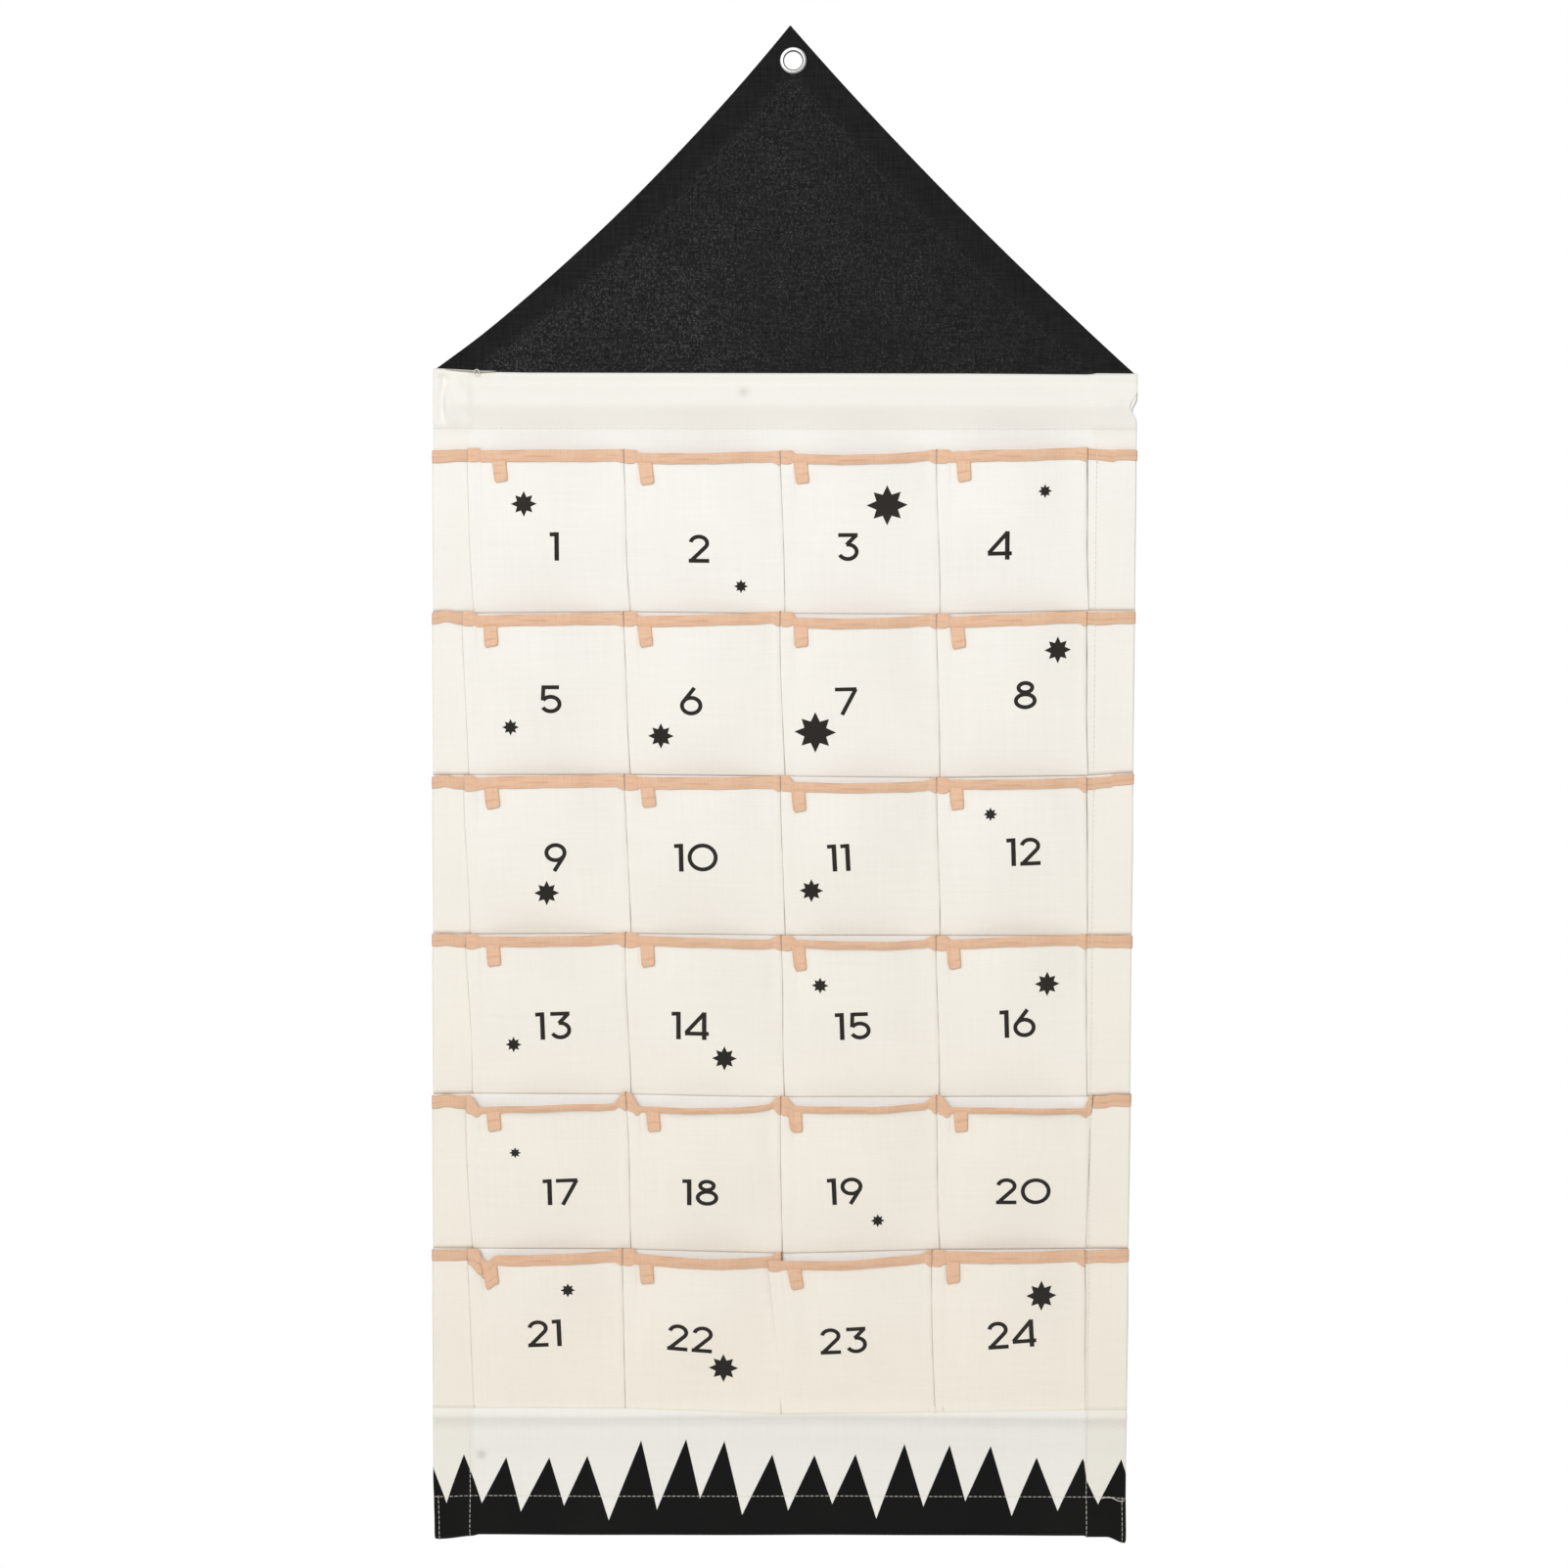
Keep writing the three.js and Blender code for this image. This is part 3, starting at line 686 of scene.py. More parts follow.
seam_end = half_width - 1.5
tack_line = half_width - 2.6
hem_top_v = front_v(-700)
casing_v = front_v(-725.6)
foot_v = path_v[np.argmin(path[:, 1])]
foot_seams = [seam_on_backing((-seam_end, casing_v), (seam_end, casing_v))]
body_seams = [
    seam_on_backing((-seam_end, v), (seam_end, v))
    for v in (front_v(top_stitch_z + 0.6), path_v[0] + 1.5, path_v[-1] - 1.5)]
for side, hem_line in ((-1, half_width - side_hem + 2.5), (1, half_width - right_hem + 1.0)):
    hem_edge = side * (half_width + side_hem - 2)
    foot_seams.append(seam_on_backing((side * tack_line, path_v[0] + 2), (side * tack_line, casing_v)))
    foot_seams.append(seam_on_backing((side * hem_line, foot_v + 1), (side * hem_line, hem_top_v)))
    body_seams.append(seam_on_backing((side * hem_line, hem_top_v), (side * hem_line, front_v(-670))))
    body_seams.append(seam_on_backing((hem_edge, front_v(-724)), (hem_edge, front_v(-34))))
for name, seams, thread in (("foot_stitches", foot_seams, 0.38), ("backing_stitches", body_seams, 0.28)):
    stitches = sew(name, seams, pale_thread, thread)
    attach(stitches, "panel")

# Rods
# Two plain wooden dowels, sawn to length with their ends eased. The upper one slides into the open casing
# from the right; the lower one is sewn in.


def turned_piece(name, profile, place, finish, axis, steps):
    """A profile of (radius, distance along the axis) turned round an axis, in mm, and closed at its ends."""
    angles = np.arange(steps) * 2 * math.pi / steps
    radius, along_axis = np.array(profile, float).T
    circle = np.stack([np.cos(angles), np.sin(angles)], -1)
    ring = radius[:, None, None] * circle[None]
    far = np.broadcast_to(along_axis[:, None], ring.shape[:2])
    if axis == "x":
        points = np.stack([far, ring[..., 0], ring[..., 1]], -1)
    else:
        points = np.stack([ring[..., 1], far, ring[..., 0]], -1)
    faces = [
        [i * steps + j, i * steps + (j + 1) % steps, (i + 1) * steps + (j + 1) % steps, (i + 1) * steps + j]
        for i in range(len(profile) - 1) for j in range(steps)]
    piece = make_piece(name, points.reshape(-1, 3) + np.array(place), faces, finish)
    with reworked(piece) as work:
        weld(work)
        if profile[0] != profile[-1]:
            bmesh.ops.holes_fill(work, edges=work.edges)
        bmesh.ops.recalc_face_normals(work, faces=work.faces)
    return piece


wood, tree, shader = new_finish("dowel_wood")
place = put(tree, "ShaderNodeTexCoord", out=3)
grain = noise(tree, vector_maths(tree, "MULTIPLY", place, (25, 900, 900)), 1.0, 4.0)
growth = noise(tree, vector_maths(tree, "MULTIPLY", place, (4, 160, 160)), 5.0, 2.0)
streak = maths(tree, "MULTIPLY_ADD", grain, 0.6, maths(tree, "MULTIPLY", growth, 0.4))
colour = mixed(tree, between(tree, streak, 0.35, 0.65), paint(186, 148, 102), paint(219, 189, 143))
colour_with(tree, shader, colour, between(tree, streak, 0.35, 0.65, 0.75, 0.55))
raised_by(tree, shader, grain, 0.08, 0.6)

ease = 0.7
for name, radius, length, middle, z in (
    ("top_rod", 5.0, 430.0, 0.0, top_rod_z),
    ("bottom_rod", 4.0, 420.0, 8.5, bottom_rod_z),
):
    half = length / 2
    end = [
        (0.0, half), (radius - ease, half), (radius - ease * 0.3, half - ease * 0.3),
        (radius, half - ease)]
    along_rod = [(radius, x) for x in np.linspace(half - ease, ease - half, 30)[1:-1]]
    profile = end + along_rod + [(r, -x) for r, x in end[::-1]]
    dowel = turned_piece(name + "_dowel", profile, (middle, 0, z), wood, "x", 32)
    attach(dowel, name)
    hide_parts(name)

# Gable
# One triangle of black canvas, hemmed to the back along both slopes and sewn to the top of the panel, where
# it folds. Where the cloth is single, light shows through between its threads; the doubled hem is darker.

gable_height = 220.0
gable_hem = 23.0
slope_corner = half_width - 1.5
apex_x = 2.8
left_bow = 9.0
right_bow = 5.0
gable_top = 219.5                            # the cloth's tip is a little blunt
eyelet_place = -fold_middle
cloth_hole = 7.2


def slope(corner, bow):
    """Across and up along one slope, which bows inwards."""
    start, end = np.array([corner, 0.0]), np.array([apex_x, gable_height])
    way = end - start
    inwards = np.array([way[1], -way[0]]) / np.hypot(*way) * -np.sign(corner)
    pull = (start + end) / 2 + 2 * bow * inwards
    t = np.linspace(0, 1, 120)[:, None]
    return ((1 - t) ** 2 * start + 2 * t * (1 - t) * pull + t * t * end).T


left_slope = slope(-slope_corner, left_bow)
right_slope = slope(slope_corner, right_bow)
hem_across = gable_hem / math.sin(math.atan2(gable_height, half_width))


def gable_edges(z):
    return [np.interp(z, up, x) for x, up in (left_slope, right_slope)]


def gable_wave(x, z):
    """How far the gable's cloth stands forward of flat, in mm."""
    soft = 0.8 * np.sin(x / 54 + 0.7) * np.sin(z / 61 + 0.3) + 0.35 * np.sin(x / 23 + z / 31)
    return soft * smooth_step(z, 4, 30) * smooth_step(-z, -205, -175)


front_share = np.linspace(-1, 1, 151)
hem_share = np.linspace(0, 1, 10)[1:]
heights = np.concatenate([
    [-0.6, 0, 0.5, 1, 1.5, 2, 3, 4.5], np.arange(6.5, gable_top - 3, 2.2),
    gable_top - np.array([2.4, 1.6, 0.9, 0.4, 0])])
gable_rows, gable_flat, from_slope = [], [], []
for z in heights:
    left, right = gable_edges(z)
    middle, half = (left + right) / 2, (right - left) / 2
    bend = min(fold_radius, 0.5 * half)
    single_half = half - bend
    hem_reach = hem_share * (min(hem_across, half - 0.25) - bend)
    side_x = np.concatenate([single_half + bend * np.sin(turn_angles), single_half - hem_reach])
    side_depth = np.concatenate([bend * (1 - np.cos(turn_angles)), np.full(len(hem_share), 2 * bend)])
    side_cut = np.concatenate([single_half + bend * turn_angles, half + bend + hem_reach])
    x = np.concatenate([-side_x[::-1], front_share * single_half, side_x])
    depth = np.concatenate([side_depth[::-1], np.zeros(len(front_share)), side_depth])
    cut = np.concatenate([-side_cut[::-1], front_share * single_half, side_cut])
    y = cloth_front + depth - gable_wave(x + middle, z)
    gable_rows.append(np.stack([x + middle, y, z + fold_rise(x + middle) * smooth_step(-z, -45, -1)], -1))
    gable_flat.append(np.stack([cut + middle, np.full(len(x), z)], -1))
    from_slope.append((half - np.abs(x)) * gable_hem / hem_across)
gable_points = np.array(gable_rows)
points, faces = grid(gable_points, gable_points[..., 0], gable_points[..., 2])[:2]
outwards = (points - eyelet_place)[:, [0, 2]]
from_eyelet = np.hypot(*outwards.T)
faces = [face for face in faces.tolist() if max(from_eyelet[i] for i in face) > cloth_hole]
inside = from_eyelet < cloth_hole
hole_edge = outwards[inside] * cloth_hole / np.maximum(from_eyelet[inside], 0.1)[:, None]
points[inside, 0] = eyelet_place[0] + hole_edge[:, 0]
points[inside, 2] = eyelet_place[2] + hole_edge[:, 1]

black_canvas, tree, shader = new_finish("gable_canvas")
cloth = flat_cloth(tree)
threads = woven(tree, cloth, 0.00055, 0.0013, 0.02)
colour = mixed(tree, between(tree, threads["Slubs"], 0.34, 0.68), paint(23, 22, 23), paint(37, 36, 38))
single = between(tree, point_value(tree, "from_edge"), 14 * mm, 20 * mm)
# Fewer painted specks of light towards the right of the gable.
wear_and_light_fade = between(tree, put(tree, "ShaderNodeSeparateXYZ", cloth), -60 * mm, 150 * mm, 1.0, 0.55)
uneven_cloth = maths(tree, "MULTIPLY", between(tree, threads["Unevenness"], 0.34, 0.68, 0.4, 1.0), wear_and_light_fade)
open_weave = maths(tree, "MULTIPLY", uneven_cloth, single)
# Painted light: grey dashes where light comes through the single cloth's weave.
for stretch in ((1, 0.4, 1), (0.45, 1, 1)):      # light comes through as short dashes along the threads
    dashes = woven(tree, vector_maths(tree, "MULTIPLY", cloth, stretch), 0.00052)
    glint = maths(tree, "POWER", between(tree, dashes["Crossing"], 0.6, 1.0), 3.0)
    pinhole = maths(tree, "MULTIPLY", glint, open_weave)
    colour = mixed(tree, maths(tree, "MULTIPLY", pinhole, 0.2), colour, paint(142, 144, 146))
colour_with(tree, shader, colour, between(tree, threads["Slubs"], 0.3, 0.7, 0.97, 0.85), shine=0.1)
uneven_yarn = raised_by(tree, None, threads["Slubs"], 0.3, 0.5)
raised_by(tree, shader, threads["Height"], 0.2, 0.6, uneven_yarn)

gable = make_piece("gable_cloth", points, faces, black_canvas, np.concatenate(gable_flat))
point_values(gable, "from_edge", np.concatenate(from_slope) * mm)
with reworked(gable) as work:
    bmesh.ops.delete(work, geom=[v for v in work.verts if not v.link_faces], context="VERTS")
give_thickness(gable, canvas)
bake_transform(gable)
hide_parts("gable_panel")

black_thread = thread_finish("black_thread", paint(52, 51, 52), paint(24, 24, 25))
gable_seams = []
for slope_line, side in ((left_slope, 1), (right_slope, -1)):
    up = np.arange(5, gable_height - 38, 2.0)
    x = np.interp(up, slope_line[1], slope_line[0]) + side * (hem_across - 2.2)
    gable_seams.append(np.stack([x, cloth_front - 0.12 - gable_wave(x, up), up], -1))
gable_stitches = sew("gable_stitches", gable_seams, black_thread, 0.3, pitch=2.8, length=2.3)
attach(gable_stitches, "gable")

# A sliver of the grey seam allowance shows between gable and panel near the left corner, with a loose loop
# of thread on it. Another loose thread lies at the right end of the bottom casing.
allowance, tree, shader = new_finish("seam_allowance")
threads = woven(tree, flat_cloth(tree), 0.0006)
colour = mixed(tree, threads["Slubs"], paint(150, 146, 138), paint(190, 186, 178))
colour_with(tree, shader, colour, between(tree, threads["Slubs"], 0.3, 0.7, 0.95, 0.85))
raised_by(tree, shader, threads["Height"], 0.12, 0.6)
sliver_x = np.linspace(-218, -184, 24)
sliver_top = fold_rise(sliver_x) + 0.25
sliver_z = np.stack([sliver_top - 1.7 * np.sin(np.linspace(0, math.pi, 24)) ** 0.8, sliver_top])
sliver = np.stack([np.broadcast_to(sliver_x, (2, 24)), np.full((2, 24), -lip_half - 1.3), sliver_z], -1)
points, faces, flat = grid(sliver, sliver[..., 0], sliver[..., 2])
lining = make_piece("seam_lining", points, faces, allowance, flat)
give_thickness(lining, 0.4)
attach(lining, "panel")


def thread_along(name, centres, thickness, finish):
    """A thread with round ends along a list of points, in mm."""
    line = bpy.data.curves.new(name, "CURVE")
    line.dimensions = "3D"
    line.bevel_depth = thickness / 2 * mm
    line.bevel_resolution = 2
    line.use_fill_caps = True
    spline = line.splines.new("POLY")
    spline.points.add(len(centres) - 1)
    for point, centre in zip(spline.points, in_frame(centres)):
        point.co = (*centre, 1)
    piece = made_from(add_object(name + "_line", line), name)
    piece.data.materials.clear()
    piece.data.materials.append(finish)
    return piece


turn = np.linspace(-0.6, 2 * math.pi + 0.5, 26)
loop = np.stack([-197.0 + 1.7 * np.cos(turn), -3.2 - 0.15 * turn, -0.6 + 1.9 * np.sin(turn)], -1)
thread_loop = thread_along("thread_loop", loop, 0.55, pale_thread)
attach(thread_loop, "panel")
tail_t = np.linspace(0, 1, 22)
tail_up = -725.3 + 2.2 * np.sin(5.5 * tail_t) * tail_t
tail = np.stack([204 + 16 * tail_t, -6.2 - 0.8 * np.sin(3 * tail_t), tail_up], -1)
thread_tail = thread_along("thread_tail", tail, 0.45, pale_thread)
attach(thread_tail, "panel")

# Eyelet
# A pressed steel eyelet: a domed flange in front, whose barrel goes through both layers of the peak and is
# rolled over a flat ring behind. It is the one point that the hanging hangs from.

steel, tree, shader = new_finish("eyelet_steel")
place = put(tree, "ShaderNodeTexCoord", out=3)
split = tree.nodes.new("ShaderNodeSeparateXYZ")
tree.links.new(place, split.inputs[0])
squares = [maths(tree, "MULTIPLY", split.outputs[i], split.outputs[i]) for i in (0, 2)]
radius = maths(tree, "SQRT", maths(tree, "ADD", *squares))
scratches = noise(tree, place, 900.0, 4.0)
# Painted shade and highlight on the steel: darker near the hole and towards the lower right, paler at the
# upper left, broken by scratches.
wear_and_hole_shade = between(tree, radius, 6.2 * mm, 7.0 * mm, 0.0, 1.0)
upper_left = maths(tree, "SUBTRACT", split.outputs[2], split.outputs[0])
painted_highlight_upper_left = between(tree, upper_left, -11 * mm, 7 * mm, 0.35, 1.0)
painted_light_share = maths(tree, "MULTIPLY", wear_and_hole_shade, painted_highlight_upper_left)
tone = maths(tree, "MULTIPLY", painted_light_share, between(tree, scratches, 0.3, 0.6, 0.8, 1.0))
colour = mixed(tree, tone, paint(70, 66, 62), paint(226, 226, 226))
colour_with(tree, shader, colour, between(tree, scratches, 0.3, 0.7, 0.22, 0.42))
shader.inputs["Metallic"].default_value = 1.0
raised_by(tree, shader, scratches, 0.04, 0.4)

# Each point of a profile: how far it lies from the eyelet's axis, and how far behind its middle.
flange = [
    (5.8, 1.9), (5.8, 0.8), (5.8, -0.4), (5.86, -0.9), (6.05, -1.3), (6.45, -1.55), (6.95, -1.62),
    (7.5, -1.55), (8.0, -1.36), (8.34, -1.1), (8.5, -0.82), (8.42, -0.7), (8.2, -0.74), (7.6, -0.95),
    (6.9, -1.05), (6.35, -0.9), (6.3, -0.4), (6.3, 1.0), (6.3, 1.95), (6.5, 2.12), (7.0, 2.14),
    (7.35, 2.14), (7.5, 2.34), (7.3, 2.58), (6.8, 2.66), (6.2, 2.55), (5.86, 2.25), (5.8, 1.9)]
eyelet = turned_piece("eyelet", flange, eyelet_place, steel, "y", 72)
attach(eyelet, "gable")
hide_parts("eyelet_grommet")
ring = [
    (6.6, 1.6), (6.7, 1.55), (8.2, 1.55), (8.5, 1.65), (8.52, 1.85), (8.3, 2.08), (6.75, 2.08),
    (6.6, 2.0), (6.6, 1.6)]
back_ring = turned_piece("eyelet_ring", ring, eyelet_place, steel, "y", 72)
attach(back_ring, "gable")
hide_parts("eyelet_washer")

# Pocket rows: the margins
# Each row is one strip of canvas, sewn flat to the backing in both side margins and folded round the edge
# with the hem. Its tape runs along the top of the margins too, and is hemmed with them.

row_count, column_count = 6, 4
dividers = [-203.0, -103.0, -3.0, 97.0, 193.0]
stations = [-half_width, *dividers, half_width]
# How far below the fold each row's sewn mouth and its bottom seam lie, at each station across.
mouth_tops = -np.array([
    [50.2, 49.6, 50.2, 50.9, 50.2, 48.3, 50.4], [153.6, 153.6, 153.6, 153.3, 154.9, 153.0, 152.4],
    [259.2, 258.6, 258.0, 258.6, 259.9, 259.3, 257.4], [360.7, 360.7, 359.6, 361.5, 361.5, 360.2, 360.7],
    [464.9, 464.8, 462.6, 465.4, 464.5, 464.4, 463.7], [564.8, 564.3, 564.3, 566.5, 564.9, 564.9, 563.7]])
row_seams = -np.array([
    [153.2, 154.1, 153.2, 154.1, 154.4, 151.9, 151.9], [258.1, 257.8, 257.6, 258.4, 259.3, 257.8, 255.8],
    [360.0, 360.4, 359.9, 360.9, 360.9, 360.9, 360.3], [463.9, 463.6, 463.8, 465.6, 465.3, 464.7, 463.6],
    [564.0, 564.0, 564.5, 567.1, 564.6, 563.6, 563.6], [667.9, 667.9, 667.9, 671.0, 669.8, 668.5, 668.5]])
divider_sway = np.random.default_rng(3).uniform(-0.9, 0.9, (2, 6, 5))
# How far right of its top each divider's foot lies.
seam_slips = [[3.6, 4.0, 3.0, 2.4, 2.0]] * 3 + [
    [3.6, 3.4, 2.2, 2.4, 2.0], [3.6, 3.0, 0.8, 2.4, -6.0], [3.6, 1.5, -0.2, 2.1, 2.6]]
# How far right of its usual place each divider's top lies.
divider_starts = [
    [0, 0, 0, 0, 0], [-3.6, -0.4, 0, 0, 0], [-3.0, 0, 0, 0.3, 0], [-2.4, 0.3, 0.3, 0, 0.4],
    [-2.6, 0.2, 0.2, 0.4, 7.6], [-2.2, -2.1, 0.4, -2.3, 0]]
strip_raised = 1.0
mouth_lift = 1.0
pocket_cloth = 0.5
tape_thickness = 0.6
full_tape = 7.3                              # from the mouth down to the edge of a tape that hangs straight
margin_tapes = [(7.3, 6.3), (7.1, 7.2), (7.3, 6.4), (7.2, 7.3), (7.5, 7.3), (6.3, 7.3)]
tape_out = 0.75                              # of the tape's outside, off the cloth that it is sewn to
tape_turn = 1.12                             # outside of the tape folded over the mouth


def mouth_height(row, x):
    return np.interp(x, stations, mouth_tops[row]) - 0.6


def seam_height(row, x):
    return np.interp(x, stations, row_seams[row])


def divider_x(row, index, rise):
    """Where a divider lies across, at a share of the pocket's height."""
    straight = dividers[index] + divider_starts[row][index] + seam_slips[row][index] * (1 - rise)
    once, twice = divider_sway[:, row, index]
    return straight + once * np.sin(math.pi * rise) + 0.5 * twice * np.sin(2 * math.pi * rise)


def pleat_shadow(distance, height, strength=1.0):
    """How dark the crevice beside a pleat's fold is, which changes along the pleat."""
    along_pleat = 0.75 + 0.25 * np.sin(height / 13) * np.sin(height / 5.3 + 1)
    return 0.78 * strength * along_pleat * (1 - smooth_step(distance, 0.1, 0.75))


def strip_lift(rise):
    return mouth_lift * np.minimum(1, rise / 0.92) - 0.75 * np.clip(1 - rise / 0.5, 0, 1)


# The tape's outside, from its front edge over the mouth to its back edge: out from the cloth, down in
# shares of the tape's height, and up over the mouth in mm.
front_shares = np.array([-1, -0.96, -0.88, -0.81, -0.71, -0.55, -0.36, -0.16, -0.04])
front_puff = 0.2 * (1 - bump(front_shares, -0.81, 0.08)) * smooth_step(front_shares, -1.04, -0.93)
over_turn = np.linspace(0.15, math.pi - 0.15, 7)
back_shares = np.array([-0.04, -0.27, -0.55, -0.75, -1])
turn_middle = tape_out + 0.2 - tape_turn
over_out = turn_middle + tape_turn * np.cos(over_turn)
back_out = np.full(5, turn_middle - tape_turn)
section_out = np.concatenate([tape_out + front_puff, over_out, back_out])[:, None]
section_share = np.concatenate([front_shares, np.zeros(7), back_shares])[:, None]
section_over = np.concatenate([np.zeros(9), 0.6 * tape_turn * np.sin(over_turn), np.zeros(5)])[:, None]
section_up = section_share * full_tape + section_over
section_step = np.diff(np.stack([section_out, section_up]), axis=1, prepend=0)[:, 1:]
section_flat = np.concatenate([[[0]], np.cumsum(np.hypot(*section_step), axis=0)])

pocket_canvas = canvas_finish(
    "pocket_canvas", paint(252, 251, 247), paint(246, 244, 239), (0.925, 0.885, 0.82), -60)

# Binding cotton: crossed yarns, painted shade along long creases in it, and dark brown painted shade where
# it is caught in a pleat.
tape_cloth, tree, shader = new_finish("binding_cotton")
cloth = flat_cloth(tree)
threads = woven(tree, cloth, 0.00042, 0.0011, 0.018)
tone = maths(tree, "MULTIPLY", between(tree, threads["Unevenness"], 0.3, 0.7), 0.35)
yarn = maths(tree, "MULTIPLY_ADD", between(tree, threads["Slubs"], 0.34, 0.66), 0.65, tone)
colour = mixed(tree, yarn, paint(228, 183, 152), paint(242, 207, 178))
# Painted shade of long creases: darker streaks along the tape.
along_tape = noise(tree, vector_maths(tree, "MULTIPLY", cloth, (45, 420, 1)), 1.0, 3.0)
colour = mixed(tree, between(tree, along_tape, 0.52, 0.66, 0.0, 0.55), colour, paint(208, 164, 130))
# The tape turns browner row by row down the hanging, and more on the margins.
colour = mixed(tree, point_value(tree, "browner_tape"), colour, paint(205, 166, 136))
# Painted shade: dark brown in the crevice where the tape's end is caught in a pleat.
crevice_shade = between(tree, point_value(tree, "from_pleat"), 0.25 * mm, 0.8 * mm, 0.9, 0.0)
colour = mixed(tree, crevice_shade, colour, paint(106, 58, 28))
roughness = between(tree, threads["Slubs"], 0.3, 0.7, 0.9, 0.75)
colour_with(tree, shader, colour, roughness, shine=0.25, sheen=0.08)
uneven_yarn = raised_by(tree, None, threads["Slubs"], 0.2, 0.6)
raised_by(tree, shader, threads["Height"], 0.12, 0.6, uneven_yarn)

rises = np.concatenate([np.linspace(0, 0.08, 4), np.linspace(0.12, 0.9, 30), np.linspace(0.92, 1, 5)])
edge_share = np.concatenate([
    np.linspace(0, 0.42, 10)[:-1], np.linspace(0.42, 0.56, 14)[:-1],
    np.linspace(0.56, 0.95, 10), np.linspace(0.957, 1, 7)])
hem_stitch_x = 199.2
hem_seams = []
for row in range(row_count):
    for side, label, index in ((-1, "left", 0), (1, "right", column_count)):
        outer = side * (half_width + side_hem - 0.4)
        share, rise = np.meshgrid(edge_share[::-side], rises)
        inner = divider_x(row, index, rise) - side * 0.9
        u = outer + (inner - outer) * share
        seam, top = seam_height(row, u), mouth_height(row, u)
        v = seam + rise * (top - seam)
        points, faces, flat = grid(on_backing(u, v, strip_raised + strip_lift(rise)), u, v)
        margin = make_piece(f"margin_{label}_{row + 1}", points, faces, pocket_canvas, flat)
        give_thickness(margin, pocket_cloth)
        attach(margin, "panel")
        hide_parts(f"pocket_strip_{row + 1}")
        # Painted shade in the crevice beside the divider's fold, darker on the left margin.
        from_pleat = np.abs(u - divider_x(row, index, rise) - side * 0.3)
        point_values(margin, "smudges_and_painted_shade", pleat_shadow(from_pleat, v, 0.3 - 0.2 * side))

        inner = divider_x(row, index, 1.0) + side * 0.1
        u = outer + (inner - outer) * edge_share[None, ::-side]
        seam, top = seam_height(row, u), mouth_height(row, u)
        up = section_share * margin_tapes[row][max(side, 0)] + section_over
        wobble = 0.25 * np.sin(u / 7 + row) + 0.2 * np.sin(u / 3.1 + 2 * row)
        wobble = wobble + 1.1 * smooth_step(u, 210, 212) * (row % 2 == 0)
        wobble = wobble + 1.3 * bump(u, -217, 5) * (0 < row < 5)
        v = top + up + wobble * (up < 0.5)
        off = strip_raised + strip_lift((v - seam) / (top - seam)) + section_out
        points, faces, flat = grid(on_backing(u, v, off), u, section_flat)
        tape = make_piece(f"margin_tape_{label}_{row + 1}", points, faces, tape_cloth, flat)
        # Painted crevice shade at the tape's inner end.
        point_values(tape, "from_pleat", (np.abs(flat[:, 0] - inner) + 0.45) * mm)
        # Browner row by row down the hanging.
        point_values(tape, "browner_tape", np.full(len(points), 0.2 + 0.04 * row))
        give_thickness(tape, tape_thickness)
        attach(tape, "panel")

    # The right hem's stitches go through the strip and its tape.
    top = mouth_height(row, 199)
    v = np.linspace(seam_height(row, 199) + 2, top - 7.6, 70)
    rise = (v - v[0]) / (v[-1] - v[0])
    hem_seams.append(on_backing(hem_stitch_x, v, strip_raised + strip_lift(rise) + 0.05))
    v = np.linspace(-7.0, 0.6, 6) + top
    hem_seams.append(on_backing(hem_stitch_x, v, strip_raised + mouth_lift + tape_out + 0.45))
hem_stitches = sew("hem_stitches", hem_seams, pale_thread, 0.55)
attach(hem_stitches, "panel")

# Pocket fronts
# The same strip of canvas between the margins, pleated under at each divider and sewn down there for a few
# millimetres each side, so that the cloth between stands off the backing and hangs a little at the mouth.

pleat_left, pleat_right = 8.0, 6.0
pocket_front_y = -2.6
mouth_depth = 5.5
mouth_stands = 0.8                           # how far a front's top edge lies above the margins'
pleat_overlap = 0.3                          # each pleat's fold lies this far over the pocket to its left
pleat_tuck = 0.6
return_width = 5.0
pleat_fold = 0.55                            # outside of the cloth folded under at a divider
cut_pitch = 117.0                            # from one front to the next, where the strip lies flat
# How far each mouth hangs below its sewn ends, at its left, in its middle and at its right.
sags = [
    [(1.7, 0.7, 0.2), (1.8, 2.2, 0.3), (2.2, 2.9, 1.0), (1.4, 0.9, 0.4)],
    [(2.5, 1.7, 0.6), (3.2, 2.2, 0.2), (3.7, 3.8, 0.6), (2.4, 0.7, 0.0)],
    [(1.9, 0.3, 0.0), (1.2, 1.4, 0.5), (4.5, 3.6, 2.2), (1.3, 0.9, 0.9)],
    [(1.9, 1.6, 0.9), (2.3, 2.1, 2.8), (2.9, 3.1, 2.9), (2.8, 0.7, 1.1)],
    [(7.9, 6.9, 7.5), (9.1, 8.2, 5.0), (6.4, 6.2, 5.0), (7.6, 7.5, 8.2)],
    [(4.8, 3.0, 1.3), (3.0, 4.4, 2.6), (5.1, 4.9, 2.5), (1.3, 0.1, 0.0)]]
sag_steps = [7.6, 7.6, 5.0, 6.5, 2.8, 7.2]   # where the drop from the sewn pleat begins, in each row
